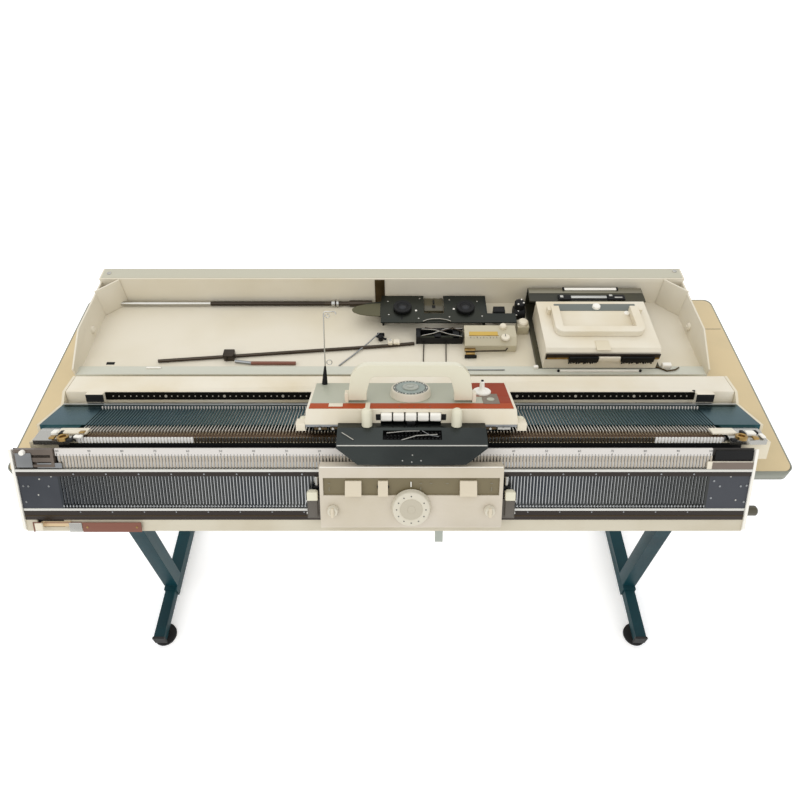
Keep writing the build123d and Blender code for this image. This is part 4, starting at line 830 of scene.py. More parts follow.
class KnittingHandholds(bpy.types.Operator):
    """Dials, knobs and screw caps with their turned forms"""
    bl_idname = "knitting.handholds"
    bl_label = "Dials and knobs"

    def hold(self, name, node, finish_name, place, outline, at, steps=72, stands_for=False):
        """One turned form that rides with its node and, if told so, stands for it."""
        made = turned(name, body_of_node[node], finish_name, place, outline, at, steps)
        if stands_for:
            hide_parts(node)

    def execute(self, context):
        at = (15.1, 19.7)
        self.hold(
            "dial_rim", "tension_dial", "dial", BED,
            [
                (0, 38.3), (28.6, 38.3), (29.3, 39.0), (27.5, 48.4), (26.6, 49.3), (25.2, 49.4),
                (24.9, 48.8), (0, 48.8),
            ], at, 96, True
        )
        self.hold(
            "dial_dark_ring", "tension_dial", "dial_ring", BED,
            [(0, 48.7), (24.8, 48.7), (24.4, 49.1), (0, 49.1)], at
        )
        self.hold("dial_light_ring", "tension_dial", "dial_light", BED, [
            (0, 49.0), (20.8, 49.0), (20.4, 49.7), (13.4, 49.7), (13.0, 49.3), (0, 49.3),
        ], at)
        self.hold(
            "dial_hub", "tension_dial", "dial_boss", BED,
            [
                (0, 49.2), (11.6, 49.2), (11.6, 50.6), (10.9, 51.4), (8.6, 51.4), (8.2, 50.7), (4.4, 50.7),
                (4.0, 51.9), (0, 52.0),
            ], at
        )
        rods(
            "dial_dots", body_of_node["tension_dial"], "white", BED,
            [
                ((x, y, 49.0), (x, y, 49.3), 0.75 if i % 3 else 1.15, 10)
                for i, (x, y) in enumerate(around(at, 22.8, 30))
            ]
        )

        at = (117.6, 26)
        self.hold(
            "change_disc", "change_knob", "white", BED,
            [
                (0, 38.3), (12.4, 38.3), (13.0, 39.0), (13.0, 41.2), (11.9, 42.3), (5.6, 42.3), (4.6, 43.2),
                (3.7, 45.0), (3.3, 55.4), (2.2, 56.4), (0, 56.4),
            ], at, 64, True
        )
        self.hold(
            "change_tip", "change_knob", "black", BED, [(0, 56.2), (2.0, 56.2), (2.0, 58.0), (0, 58.3)], at,
            32
        )

        for side, x in (("left", -44.8), ("right", 76.7)):
            self.hold(
                f"thumb_cap_{side}", f"thumb_screw_{side}", "handle", BED,
                [
                    (0, 18.0), (6.6, 18.0), (7.2, 18.8), (7.2, 36.0), (6.9, 39.4), (5.8, 42.2), (3.6, 43.7),
                    (0, 44.0),
                ], (x, -39.5), 48, True
            )

        at = (15.3, -87.6)
        self.hold(
            "rib_dial_rim", "rib_dial", "dial", RIB,
            [
                (0, 22.3), (26.4, 22.3), (27.0, 23.0), (25.2, 29.6), (24.4, 30.6), (23.4, 31.0),
                (16.4, 31.0), (15.8, 30.5), (0, 30.5),
            ], at, 96, True
        )
        self.hold(
            "rib_dial_centre", "rib_dial", "dial_centre", RIB,
            [
                (0, 30.4), (15.4, 30.4), (15.0, 30.9), (6.4, 30.9), (6.0, 30.6), (5.6, 30.6), (5.2, 31.0),
                (0, 31.1),
            ], at
        )
        body = body_of_node["rib_dial"]
        rods(
            "rib_dial_ribs", body, "dial", RIB,
            [
                ((*foot, 23.2), (*head, 29.4), 0.5, 6)
                for foot, head in zip(around(at, 26.7, 72), around(at, 25.1, 72))
            ]
        )
        rods("rib_dial_dots", body, "ink", RIB, [
            ((x, y, 30.9), (x, y, 31.15), 1.0, 12) for x, y in around(at, 19.9, 11, 90, 30)
        ])
        for side, x in (("left", -91.7), ("right", 122.3)):
            node = f"rib_knob_{side}"
            self.hold(
                f"rib_knob_cap_{side}", node, "dial", RIB,
                [
                    (0, 22.3), (7.0, 22.3), (7.5, 23.0), (7.2, 28.8), (6.4, 30.6), (4.4, 31.2), (3.0, 30.6),
                    (0, 30.6),
                ], (x, -91.7), 40, True
            )
            boxes(
                f"rib_knob_tail_{side}", body_of_node[node], "switch", RIB,
                [(x - 2.2, x + 2.2, -98.6, -84.8, 29.4, 34.0)], 1.2
            )
        return {"FINISHED"}


class KnittingCarriage(bpy.types.Operator):
    """Panel, stripes, feet and cams of the main carriage"""
    bl_idname = "knitting.carriage"
    bl_label = "Main carriage"

    def execute(self, context):
        boxes(
            "cover_panel", "carriage", "panel", BED,
            [(-124.2, 155.0, -27.8, 62.0, 37.9, 38.5)], 0.25
        )
        boxes(
            "cover_stripe", "carriage", "stripe", BED,
            [(-124.3, 155.1, -27.9, -11, 38.2, 38.75)], 0.2
        )
        boxes(
            "cover_corner", "carriage", "stripe_deep", BED,
            [(120, 155.1, -11.4, 12.9, 38.2, 38.7), (105.6, 155.1, 12.4, 62.1, 38.2, 38.75)], 0.2
        )
        boxes(
            "cover_square", "carriage", "panel_dark", BED,
            [(115.7, 138.5, -13.6, 20.6, 38.6, 39.2)], 0.25
        )
        discs(
            "cover_square_button", "carriage", "panel", BED, [(127, 1)], 5.4, 39.1, 40.0,
            28, 0.4
        )
        boxes(
            "cover_tabs", "carriage", "cream", BED,
            [(-98, -78.6, -22.8, -12.4, 38.6, 39.6), (-47.4, -41.0, -30.0, -12.0, 38.6, 40.4)], 0.35
        )
        spots = [(-0.8, -22.6), (19.5, -22.6), (41, -22.6)]
        discs("stripe_dots", "carriage", "brown", BED, spots, 1.1, 38.7, 39.0, 14)
        # Painted shade: black boxes stand for the shade in the recess beside the keys and under the middle
        # key
        boxes(
            "key_recess_shade", "carriage", "black", BED,
            [(-33.0, 63.0, -31.7, -30.6, 20.4, 31.6), (9.0, 20.8, -36.6, -34.2, 17.0, 22.6)], 0.3
        )
        boxes(
            "fascia_shadow", "carriage", "black", BED,
            [(-123, 156, -31.8, -30.4, 16.2, 18.0)], 0.2
        )
        boxes(
            "fascia_ribs", "carriage", "case", BED,
            [(-122, -35, -30.9, -30.3, 24.2, 25.0), (66, 154, -30.9, -30.3, 24.2, 25.0)], 0.2
        )
        feet = [(-140.5, -128.4, -19, -8, 10.5, 19.5), (161.8, 173.5, -19, -8, 10.5, 19.5)]
        boxes("carriage_feet", "carriage", "handle", BED, feet, 4.2)
        boxes(
            "cam_plates", "carriage", "bronze", BED,
            [
                (-96, -72, -33.0, -30.6, 9.0, 12.0), (104, 132, -33.0, -30.6, 9.0, 12.0),
                (-118, -100, -32.4, -30.8, 8.2, 11.6),
            ], 0.5
        )
        boxes(
            "cam_edges", "carriage", "nickel", BED,
            [
                (-72, -52, -32.6, -30.8, 8.4, 12.0), (84, 104, -32.6, -30.8, 8.4, 12.0),
                (134, 152, -32.6, -30.8, 8.4, 12.0),
            ], 0.5
        )
        rods("cam_screws", "carriage", "nickel", BED, [
            ((x, -32.4, 10.5), (x, -34.0, 10.5), 1.7, 14) for x in (-92, -80, 110, 124, 142, -110)
        ])
        return {"FINISHED"}


class KnittingYarnGuide(bpy.types.Operator):
    """Wire mast with two eyes that stands on the carriage"""
    bl_idname = "knitting.yarn_guide"
    bl_label = "Yarn guide"

    def execute(self, context):
        r = context.scene.knitting_sizes.wire_radius / MM
        y = 58.5
        rods(
            "guide_grip", "carriage", "black", BED,
            [
                ((x0, y, z0), (x1, y, z1), r0, 24, r1)
                for (x0, z0, r0), (x1, z1, r1) in zip(GUIDE_GRIP, GUIDE_GRIP[1:])
            ]
        )
        wire("guide_mast", "carriage", "nickel", BED, [(x, y, z) for x, z in GUIDE_MAST], r)
        for name, (x, z), eye, (foot_x, foot_z) in GUIDE_EYES:
            loop = [(u, y, v) for u, v in around((x, z), eye, 20)]
            wire(f"guide_{name}_eye", "carriage", "nickel", BED, loop, r * 0.8, True)
            wire(
                f"guide_{name}_link", "carriage", "nickel", BED,
                [(foot_x, y, foot_z), (x - eye, y, z)], r * 0.8
            )
        return {"FINISHED"}


class KnittingArm(bpy.types.Operator):
    """Brushes, wires and screws of the arm between the carriages"""
    bl_idname = "knitting.arm"
    bl_label = "Joining arm"

    def execute(self, context):
        rods(
            "arm_bristles", "carriage", "black", WORLD,
            [
                ((x, y, 810.0), (x + 1.2, y - 0.8, 817.2), 1.5, 7, 1.0)
                for x in range(-18, 53, 5) for y in (-178, -173, -168)
            ]
        )
        wire(
            "arm_wire_1", "carriage", "nickel", WORLD,
            [(-18, -170, 817.9), (6, -167.5, 818.6), (26, -166.8, 818.2)], 0.7
        )
        wire(
            "arm_wire_2", "carriage", "nickel", WORLD,
            [(2, -182, 818.2), (22, -175, 818.8), (50, -172.5, 818.2)], 0.7
        )
        wire(
            "arm_wire_3", "carriage", "steel", WORLD,
            [(30, -166.5, 818.2), (40, -174, 818.6), (52, -176, 818.0)], 0.6
        )
        wire(
            "arm_spring_wire", "carriage", "nickel", WORLD,
            [(-78, -169.5, 818.3), (-61.6, -181.9, 818.3)], 0.8
        )
        boxes(
            "arm_fold_line", "carriage", "nickel", WORLD,
            [(-83.5, 115.2, -191.0, -189.6, 816.4, 817.8)], 0.4
        )
        discs(
            "arm_screws", "carriage", "black", BED, [(-42.9, -40.8), (73.7, -40.8)], 2.0,
            17.9, 18.6, 18, 0.3
        )
        discs(
            "flange_marks", "carriage", "nickel", FLANGE,
            [(3.3, -22.8), (28.0, -22.8), (16.6, -14.3), (15.7, -24.8)], 0.9, -0.1, 0.3, 12
        )
        boxes(
            "lower_plate_cream", "carriage", "cream", RIB,
            [(-60, 2, -37.0, -30.0, 4.6, 6.4)], 0.4
        )
        boxes(
            "lower_plate_block", "carriage", "black", RIB,
            [(2.4, 23.4, -38.4, -31.0, 4.6, 8.4)], 0.6
        )
        boxes(
            "lower_plate_gold", "carriage", "gold", RIB, [(23, 87, -37.4, -29.6, 4.6, 6.2)],
            0.4
        )
        return {"FINISHED"}


class KnittingRibCarriage(bpy.types.Operator):
    """Marks, pointer and side levers of the ribber carriage"""
    bl_idname = "knitting.rib_carriage"
    bl_label = "Ribber carriage"

    def execute(self, context):
        top = 22.0
        boxes(
            "dial_pointer", "carriage", "white", RIB,
            [(14.2, 15.6, -57.6, -50.0, top, top + 0.8)], 0.2
        )
        shape = bmesh.new()
        for x in (-96, 28, 42, 64, 124):
            box_in(shape, x - 1.6, x + 1.6, -53.0, -52.0, top, top + 0.3)
        for x in (-96, 28, 124):
            box_in(shape, x - 0.5, x + 0.5, -64.0, -58.0, top, top + 0.3)
        to_piece("band_marks", shape, RIB, "carriage", "olive_plate")
        boxes(
            "rib_cover_rim", "carriage", "white", RIB,
            [(-108.2, 138.8, -30.4, -28.9, 19.4, 21.4)], 0.6
        )
        rods("side_block_screws", "carriage", "nickel", RIB, [
            ((x - 0.8, y, 7), (x + 0.8, y, 7), 2.0, 16) for y in (-86, -104) for x in (-129.4, 160.0)
        ])
        shape = bmesh.new()
        for x in (147, -115):
            rod_in(shape, (x, -51, 4.2), (x, -64, 4.2), 2.6, 16)
            rod_in(shape, (x, -49.6, 4.2), (x, -51.6, 4.2), 3.4, 16)
        to_piece("side_posts", shape, RIB, "carriage", "nickel")
        for side, x0, x1 in (("left", -127.6, -112.6), ("right", 144.0, 158.2)):
            node = f"side_lever_{side}"
            cap = boxes(
                f"side_cap_{side}", body_of_node[node], "handle", RIB,
                [(x0, x1, -80.4, -67.4, 10.5, 19.3), (x0 + 2, x1 - 2, -69.4, -66.9, 8.5, 16.0)], 1.6
            )
            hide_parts(node)
            boxes(
                f"side_slider_{side}", body_of_node[node], "side_block", RIB,
                [(x0 + 1, x1 - 1, -106, -80.6, 13.3, 16.2)], 0.8
            )
        boxes(
            "side_clips", "carriage", "black", RIB,
            [(143.0, 151.5, -66.5, -63.0, 1.6, 8.0), (-119, -111.5, -66.5, -63.0, 1.6, 8.0)], 0.8
        )
        return {"FINISHED"}


class KnittingLid(bpy.types.Operator):
    """Rim, screws, strap and lugs of the lid"""
    bl_idname = "knitting.lid"
    bl_label = "Lid fittings"

    def execute(self, context):
        boxes(
            "lid_rim_face", "machine", "lid_rim", WORLD,
            [(-542, 512, 224.5, 250.5, 766.6, 767.8)], 0.5
        )
        discs(
            "lid_screws", "machine", "nickel", WORLD, [(-530.7, 237), (502.6, 243)], 4.0,
            767.6, 768.8, 24, 0.6
        )
        shape = bmesh.new()
        for x0, x1, y, z in ((-542.4, -537.6, 131.4, 726.5), (512.4, 507.6, 138.7, 726.8)):
            rod_in(shape, (x0, y, z), (x1, y, z), 7.2, 32, 6.0)
            rod_in(shape, (x1, y, z), (x1 + (x1 - x0) * 0.3, y, z), 3.0, 24, 2.4)
        to_piece("lid_bosses", shape, WORLD, "machine", "lid")
        shape = bmesh.new()
        for x, turn in ((-526, 45), (496, -45)):
            before = set(shape.verts)
            box_in(shape, -24, 24, -1.5, 1.5, 710.2, 766, 0.8)
            made = [v for v in shape.verts if v not in before]
            place = Matrix.Translation((x, 205, 0)) @ Matrix.Rotation(math.radians(turn), 4, "Z")
            bmesh.ops.transform(shape, matrix=place, verts=made)
        to_piece("lid_corner_webs", shape, WORLD, "machine", "lid")
        boxes(
            "lid_ledge", "machine", "ledge", WORLD,
            [(-544.4, 514.4, 32.5, 51.5, 709.9, 716.6)], 0.6
        )
        boxes(
            "lid_strap", "machine", "bronze", WORLD, [(-46, -28, 220.4, 222.2, 713, 765)], 0.5
        )
        # Painted shade: thin black plates stand for the shade in the lid's slots
        boxes(
            "lid_slot_shade", "machine", "black", WORLD,
            [(-503, -489, 61.5, 67.5, 709.9, 710.4), (436, 448, 53, 58, 709.9, 710.4)], 0.1
        )
        boxes(
            "lid_bar", "machine", "white", WORLD, [(268, 401, 38.0, 41.6, 716.5, 719.2)],
            0.9
        )
        discs(
            "lid_bar_ends", "machine", "black", WORLD, [(266, 39.8), (403.4, 39.8)], 2.2,
            716.5, 719.6, 18, 0.5
        )
        boxes(
            "lid_lugs", "machine", "white", WORLD,
            [
                (225, 233, 44.5, 50.5, 716.0, 721.4), (-428, -403, 45.4, 49.0, 716.0, 718.6),
                (440, 455, 43, 51, 716, 727),
            ], 1.2
        )
        wire("lid_clip", "machine", "steel", WORLD, [(111, 42, 717.6), (176, 42, 717.6)], 0.9)
        wire(
            "lid_wire_hook", "machine", "bronze", WORLD,
            [
                (414, 47, 718), (424, 51, 720), (436, 46, 719), (448, 39, 718), (462, 41, 719),
                (470, 47, 718),
            ], 1.3
        )
        return {"FINISHED"}


class KnittingSpareArm(bpy.types.Operator):
    """Brush wheels, blade, roller and block of the spare arm in the lid"""
    bl_idname = "knitting.spare_arm"
    bl_label = "Spare arm"

    def execute(self, context):
        body = body_of_node["spare_arm"]
        top = 736.0
        shape = bmesh.new()
        bmesh.ops.create_circle(shape, cap_ends=True, segments=56, radius=1)
        bmesh.ops.transform(
            shape, matrix=Matrix.Translation((-34, 172, top)) @ Matrix.Diagonal((52, 17, 1, 1)),
            verts=shape.verts
        )
        bmesh.ops.bisect_plane(
            shape, geom=shape.verts[:] + shape.edges[:] + shape.faces[:], plane_co=(-35.5, 0, 0),
            plane_no=(1, 0, 0), clear_outer=True
        )
        grown = bmesh.ops.extrude_face_region(shape, geom=shape.faces[:])["geom"]
        bmesh.ops.translate(
            shape, vec=(0, 0, 1.6), verts=[g for g in grown if isinstance(g, bmesh.types.BMVert)]
        )
        to_piece("arm_blade", shape, WORLD, body, "blade", 50)
        for side, x in (("left", 4.5), ("right", 117.5)):
            node = f"brush_wheel_{side}"
            wheel = turned(
                f"wheel_{side}", body_of_node[node], "black", WORLD,
                [
                    (0, 736.3), (15.6, 736.3), (16.5, 737.2), (16.5, 741.6), (15.6, 743.0), (10.4, 743.3),
                    (9.0, 742.0), (0, 741.4),
                ], (x, 176), 56
            )
            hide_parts(node)
            turned(f"wheel_hub_{side}", body_of_node[node], "slate_hub", WORLD, [
                (0, 741.2), (6.2, 741.2), (6.6, 742.2), (4.6, 743.2), (3.0, 743.4), (0, 743.4),
            ], (x, 173.5), 40)
        # Painted shade: thin black plates stand for the shade in the arm's slots
        boxes(
            "arm_slot_shade", body, "black", WORLD,
            [(2.0, 5.0, 148, 157, top, top + 0.4), (121.6, 124.6, 156, 168, top, top + 0.4)], 0.15
        )
        wire(
            "arm_arc", body, "nickel", WORLD,
            [
                (40, 141.5, 737), (48, 145.2, 737.6), (58, 147.2, 738), (70, 147.4, 738),
                (82, 145.2, 737.6), (90, 141.5, 737),
            ], 0.9
        )
        boxes(
            "arm_bracket", body, "olive_knob", WORLD, [(43.4, 78.6, 174, 209, 727.5, 733.0)],
            1.0
        )
        # Painted shade: black plates stand for the shade in the bracket's slot
        boxes(
            "arm_bracket_slot_shade", body, "black", WORLD,
            [(58, 64, 181, 189, 732.9, 733.5), (59.6, 62.4, 192, 203, 732.9, 734.6)], 0.25
        )
        discs(
            "arm_rivets", body, "white", WORLD, [(28.7, 170.6), (96.7, 175.0)], 2.0, top,
            top + 1.2, 18, 0.4
        )
        discs(
            "arm_screws_small", body, "nickel", WORLD,
            [(-20, 160), (-22, 196), (33, 150), (88, 154), (146, 156), (140, 196), (90, 200), (36, 204)],
            1.5, top, top + 0.7, 16, 0.25
        )
        rods("roller_top", body, "black", WORLD, [
            ((216, 184, 733), (216, 184, 744), 9.6, 36), ((216, 184, 744), (216, 184, 745.6), 9.6, 36, 7.6),
        ])
        spots = [(212, 177.5), (219, 190), (222, 181)]
        discs("roller_top_dots", body, "white", WORLD, spots, 1.5, 745.2, 746.4, 16, 0.3)
        boxes(
            "tail_cube", body, "black", WORLD, [(167.6, 188.4, 165.6, 180.4, 716, 738.5)],
            2.0
        )
        shape = bmesh.new()
        rod_in(shape, (205.6, 182, 722), (226.4, 182, 722), 12.4, 40)
        bmesh.ops.bevel(
            shape, geom=[e for e in shape.edges if len(e.link_faces) == 2 and e.calc_face_angle(0) > 1],
            offset=1.4, segments=3, profile=0.5, affect="EDGES", material=-1
        )
        to_piece("black_roller", shape, WORLD, body, "black")
        shape = bmesh.new()
        for i in range(5):
            a = math.radians(20 + 35 * i)
            foot = Vector((210 + 3.4 * (i % 3), 182 - 12.2 * math.cos(a), 722 + 12.2 * math.sin(a)))
            rod_in(shape, foot, foot + Vector((0, -0.5 * math.cos(a), 0.5 * math.sin(a))), 1.3, 12)
        to_piece("roller_dots", shape, WORLD, body, "white")
        return {"FINISHED"}


class KnittingTensionUnit(bpy.types.Operator):
    """Window, marks, knob and springs of the yarn tension unit"""
    bl_idname = "knitting.tension_unit"
    bl_label = "Tension unit"

    def execute(self, context):
        body = body_of_node["tension_unit"]
        boxes(
            "tension_window", body, "window_gold", WORLD,
            [(120, 169.5, 107.4, 116.8, 734.9, 735.6)], 0.25
        )
        boxes(
            "tension_window_edge", body, "gold", WORLD,
            [(118.8, 170.8, 106.2, 107.0, 734.9, 735.9)], 0.2
        )
        shape = bmesh.new()
        for i in range(9):
            x = 122 + 5.6 * i
            box_in(shape, x - 0.4, x + 0.4, 100.4, 102.6 if i % 2 else 104.2, 735, 735.3)
        to_piece("tension_marks", shape, WORLD, body, "ink")
        turned(
            "tension_dial_small", body, "cream", WORLD,
            [
                (0, 735), (7.4, 735), (7.8, 735.6), (7.4, 738.0), (6.6, 738.8), (2.0, 738.8), (1.6, 738.4),
                (0, 738.4),
            ], (181.5, 101.0), 40
        )
        boxes(
            "tension_dial_mark", body, "ink", WORLD,
            [(180.9, 182.1, 101.4, 107.6, 738.7, 739.1)], 0.1
        )
        turned("tension_post", body, "cream", WORLD, [
            (0, 735), (6.0, 735), (6.0, 739.5), (4.4, 741.6), (0, 742.0),
        ], (180, 127.5), 32)
        wire(
            "tension_bail", body, "rod", WORLD,
            [(113, 84, 719.5), (182, 86, 719.5), (186, 91.6, 719.5)], 1.2
        )
        boxes(
            "tension_foot_parts", body, "gold", WORLD,
            [(111.6, 130.4, 84.4, 92, 718, 720.4), (113, 129, 78.4, 84.6, 712, 718.6)], 0.7
        )
        boxes(
            "tension_foot_black", body, "black", WORLD,
            [(111.4, 132.0, 75.6, 79.4, 710.3, 716.4)], 0.8
        )
        # The spring box: a black frame with crossed spring wires over it
        boxes(
            "spring_frame", body, "black", WORLD,
            [
                (28.4, 36.0, 111.4, 134.6, 710, 727.8), (36, 110.4, 129.5, 134.6, 716, 727.8),
                (36, 110.4, 111.4, 115.6, 712, 724.5), (60, 72, 112, 134, 716, 728.2),
                (92, 104, 112, 134, 716, 728.6),
            ], 1.0
        )
        wire(
            "spring_wire_1", body, "nickel", WORLD,
            [(38, 131, 728.4), (62, 126, 731), (86, 116, 730), (108, 113, 727.6)], 0.9
        )
        wire(
            "spring_wire_2", body, "nickel", WORLD,
            [(38, 115, 727.6), (58, 118, 730), (80, 128, 731.4), (110, 132, 729)], 0.9
        )
        wire(
            "spring_wire_3", body, "rod", WORLD,
            [(44, 134, 729), (74, 122, 732), (92, 130, 731.6), (110, 124, 728.8)], 1.1
        )
        for x in (42, 81):
            wire(
                f"spring_leg_{x}", body, "rod", WORLD,
                [(x, 112, 713.6), (x - 1, 90, 711.6), (x - 2, 66, 711.2)], 0.9
            )
        turned("pale_knob", body, "cream", WORLD, [
            (0, 727.8), (8.8, 727.8), (9.2, 728.6), (8.6, 732.4), (6.8, 734.4), (2.2, 735), (0, 735),
        ], (218.5, 146), 40)
        return {"FINISHED"}


class KnittingRods(bpy.types.Operator):
    """Clips and small rods that lie in the lid"""
    bl_idname = "knitting.rods"
    bl_label = "Rods and clips"

    def execute(self, context):
        body = body_of_node["mast_rods"]
        # The long rod is chromed for a third of its length, then browned, with a clip and a thin end
        for name, finish_name, rows in (
            ("rod_chromed", "nickel", [((-527.6, 214, 716), (-352, 214, 716), 4.25, 28)]),
            ("rod_browned", "rod_dark", [((-352, 214, 716), (-140, 214, 716), 4.2, 28)]),
            ("rod_clip_rings", "rail", [
                ((-127, 214, 716), (-121, 214, 716), 6.6, 24), ((-118, 214, 716), (-114, 214, 716), 6.9, 24),
            ]),
            ("short_rod_grey", "steel", [((-282, 66.4, 713.2), (-254, 62.2, 713.2), 2.9, 20)]),
            ("short_rod_brown", "brown", [((-254, 62.2, 713.2), (-178, 62.0, 713.2), 3.1, 20)]),
        ):
            rods(name, body, finish_name, WORLD, rows)
        boxes(
            "clamp_cap", body, "rod_dark", WORLD,
            [(-303, -284.4, 69.4, 86.6, 715, 723), (-300, -295, 67.4, 70.4, 712, 720)], 1.4
        )
        wire(
            "thin_rod", body, "steel", WORLD,
            [(-104, 58, 711.4), (-82, 82, 711.4), (-58, 106, 715.4), (-36.5, 128, 721.4)], 1.2
        )
        shape = bmesh.new()
        rod_in(shape, (-42, 124, 717.4), (-24, 116.5, 717.4), 2.0, 16)
        rod_in(shape, (-34, 121.0, 712.0), (-34, 121.0, 721.0), 4.4, 20)
        box_in(shape, -40.5, -27.5, 126.0, 129.0, 713.0, 722.0, 1.2)
        to_piece("rod_wing_nut", shape, WORLD, body, "black")
        boxes(
            "rod_clip", body, "cream", WORLD,
            [(-21, -13, 103.6, 114.6, 711, 721), (-12, 0, 105.0, 116.0, 711, 719.6)], 1.8
        )
        discs("rod_clip_screw", body, "nickel", WORLD, [(-17, 110)], 2.4, 720.8, 722.2, 20, 0.4)
        return {"FINISHED"}


class KnittingSpareCarriage(bpy.types.Operator):
    """Strip, pivots, brushes and plate of the spare lace carriage"""
    bl_idname = "knitting.spare_carriage"
    bl_label = "Spare carriage"

    def execute(self, context):
        body = body_of_node["spare_carriage"]
        top = 758.0
        # Its front stands on brush blocks: a thin edge, a dark strip of painted shade in the gap and the two
        # rows of bristles
        boxes(
            "lace_front_gap_shade", body, "dark_strip", WORLD,
            [(240.6, 429.4, 44.6, 46.3, 740, 751.5)], 0.3
        )
        boxes(
            "lace_front_edge", body, "gold", WORLD,
            [(243, 279, 43.6, 45.4, 741, 744), (420, 428, 43.6, 45.4, 741, 744)], 0.5
        )
        boxes(
            "lace_brush_blocks", body, "black", WORLD,
            [(279, 328, 40.8, 44.8, 736.5, 747.5), (366, 420, 40.8, 44.8, 736.5, 747.5)], 1.0
        )
        boxes(
            "lace_front_block", body, "cream", WORLD, [(328, 364, 41.6, 45.4, 737, 747)],
            1.2
        )
        shape = bmesh.new()
        for start, count in ((281, 16), (369, 17)):
            for i in range(count):
                x = start + i * 3
                rod_in(shape, (x, 43, 738), (x + 0.5 * (i % 3 - 1), 42, 732.5 + 0.8 * (i % 4)), 1.7, 8, 1.3)
        to_piece("lace_bristles", shape, WORLD, body, "black")
        boxes(
            "lace_strip", body, "strip_dark", WORLD,
            [(270, 412, 145.0, 163.0, top - 0.1, top + 0.6)], 0.25
        )
        boxes(
            "lace_tab", body, "case", WORLD,
            [(323, 346, 47.0, 70.0, top - 0.2, top + 1.2)], 0.7
        )
        turned("lace_knob", body, "white", WORLD, [
            (0, top), (6.8, top), (7.2, top + 0.8), (6.6, top + 4.4), (4.8, top + 5.6), (0, top + 5.8),
        ], (343, 154), 40)
        discs(
            "lace_pivots", body, "white", WORLD, [(271, 138), (393, 138)], 5.0, top,
            top + 2.6, 32, 0.9
        )
        boxes(
            "lace_pivot_hooks", body, "black", WORLD,
            [(262.4, 266.0, 134.5, 144.5, top, top + 3.0), (398.4, 402.0, 134.5, 144.5, top, top + 3.0)], 0.8
        )
        body = body_of_node["spare_plate"]
        boxes(
            "plate_upper", body, "olive_plate", WORLD,
            [(233, 437, 199.5, 213.6, 751.9, 752.7)], 0.25
        )
        boxes(
            "plate_bar", body, "white", WORLD, [(297, 392, 206.4, 212.0, 752.6, 755.0)],
            0.8
        )
        boxes(
            "plate_bar_ends", body, "black", WORLD,
            [(294.4, 297.4, 205.6, 212.8, 752.6, 755.8), (391.6, 394.6, 205.6, 212.8, 752.6, 755.8)], 0.6
        )
        boxes(
            "plate_light_bar", body, "rail", WORLD, [(306, 370, 184.0, 190.6, 752.4, 754.4)],
            0.5
        )
        boxes(
            "plate_bits", body, "black", WORLD,
            [
                (283, 305, 180, 193, 751.9, 755), (371, 402, 180, 193, 751.9, 755),
                (300, 376, 180.6, 194, 751.9, 753.2),
            ], 0.7
        )
        boxes(
            "plate_clips", body, "nickel", WORLD,
            [
                (286, 292, 184, 190, 754.4, 756.2), (383, 397, 183, 186, 754.4, 756.0),
                (374, 380, 187, 192, 754.4, 756.4),
            ], 0.6
        )
        return {"FINISHED"}


def plate(name, finish_name, low, high, corner, band=False):
    """A board with its four upright edges rounded by corner, or only the band around it."""
    shape = bmesh.new()
    box_in(shape, low.x, high.x, low.y, high.y, low.z, high.z)
    upright = [e for e in shape.edges if abs(e.verts[0].co.z - e.verts[1].co.z) > 1]
    bmesh.ops.bevel(shape, geom=upright, offset=corner, segments=8, profile=0.5, affect="EDGES", material=-1)
    if band:
        flat = [face for face in shape.faces if abs(face.normal.z) > 0.9]
        bmesh.ops.delete(shape, geom=flat, context="FACES")
    else:
        rims = [e for e in shape.edges if abs(e.verts[0].co.z - e.verts[1].co.z) < 0.01]
        bmesh.ops.bevel(shape, geom=rims, offset=0.5, segments=2, profile=0.5, affect="EDGES", material=-1)
    return to_piece(name, shape, WORLD, "machine", finish_name)


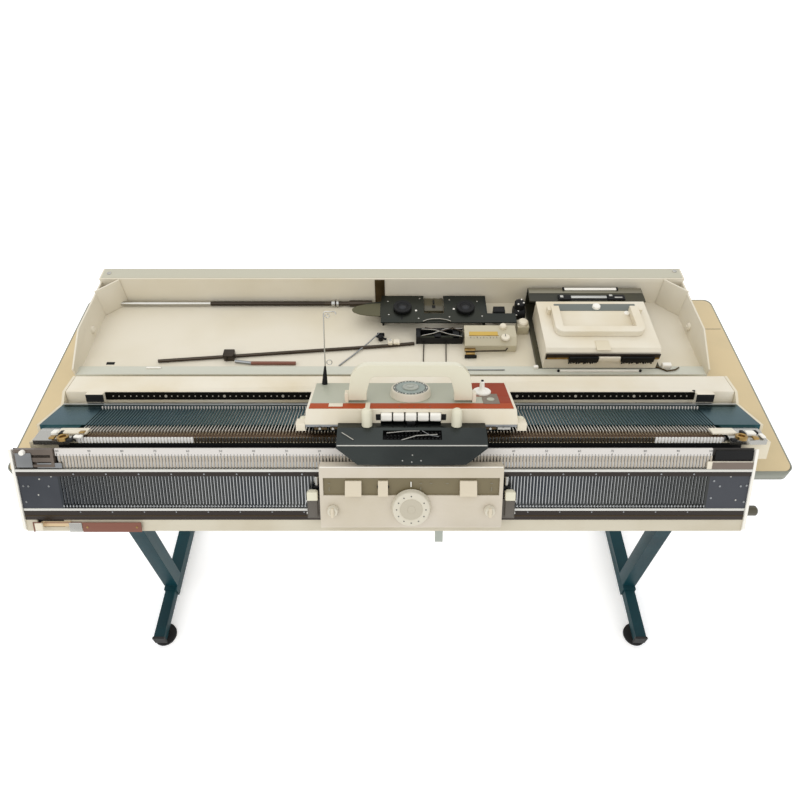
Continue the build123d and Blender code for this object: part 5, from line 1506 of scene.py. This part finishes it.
class KnittingTable(bpy.types.Operator):
    """Seam and hole of the table top"""
    bl_idname = "knitting.table"
    bl_label = "Table top"

    def execute(self, context):
        # The board and its edge strip, with the tight corners of the real one
        sizes = context.scene.knitting_sizes
        low, high = (Vector(corner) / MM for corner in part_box("table_top"))
        band_low, band_high = (Vector(corner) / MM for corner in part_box("table_edge_band"))
        top = high.z
        board = plate("table_board", "laminate", low, high, sizes.table_corner / MM)
        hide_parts("table_top")
        strip = plate(
            "table_strip", "edging", band_low, band_high, sizes.table_corner / MM, True
        )
        thickness = strip.modifiers.new("Strip", "SOLIDIFY")
        thickness.thickness = (band_high.x - high.x) * MM
        thickness.offset = -1
        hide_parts("table_edge_band")
        boxes(
            "table_seam", "machine", "ink", WORLD,
            [(560, 594, 172.0, 173.0, top - 0.1, top + 0.15)], 0.0
        )
        # Painted shade: a dark disc stands for the shade inside the hole in the table top
        discs("table_hole_shade", "machine", "ink", WORLD, [(548, 133)], 2.0, top - 0.2, top + 0.2, 18)
        return {"FINISHED"}


property_groups = (KnittingSizes, KnittingColours)
operators = (
    KnittingFinishes, KnittingStage, KnittingCovers, KnittingNeedles, KnittingMainBed, KnittingBelt,
    KnittingRibberBed, KnittingRibberEnds, KnittingHandholds, KnittingCarriage, KnittingYarnGuide,
    KnittingArm, KnittingRibCarriage, KnittingLid, KnittingSpareArm, KnittingTensionUnit, KnittingRods,
    KnittingSpareCarriage, KnittingTable,
)


class KnittingPanel(bpy.types.Panel):
    """Lists the pieces of the machine"""
    bl_label = "Knitting machine"
    bl_idname = "VIEW3D_PT_knitting"
    bl_space_type = "VIEW_3D"
    bl_region_type = "UI"
    bl_category = "Knitting"

    def draw(self, context):
        for group in (context.scene.knitting_sizes, context.scene.knitting_colours):
            for name in group.bl_rna.properties.keys():
                if name not in ("rna_type", "name"):
                    self.layout.prop(group, name)
        for kind in operators:
            self.layout.operator(kind.bl_idname)


def register():
    for kind in property_groups + operators + (KnittingPanel,):
        bpy.utils.register_class(kind)
    bpy.types.Scene.knitting_sizes = bpy.props.PointerProperty(type=KnittingSizes)
    bpy.types.Scene.knitting_colours = bpy.props.PointerProperty(type=KnittingColours)


def unregister():
    del bpy.types.Scene.knitting_colours
    del bpy.types.Scene.knitting_sizes
    for kind in reversed(property_groups + operators + (KnittingPanel,)):
        bpy.utils.unregister_class(kind)


def main():
    register()
    for kind in operators:
        group, name = kind.bl_idname.split(".")
        getattr(getattr(bpy.ops, group), name)()


if __name__ == "__main__":
    main()
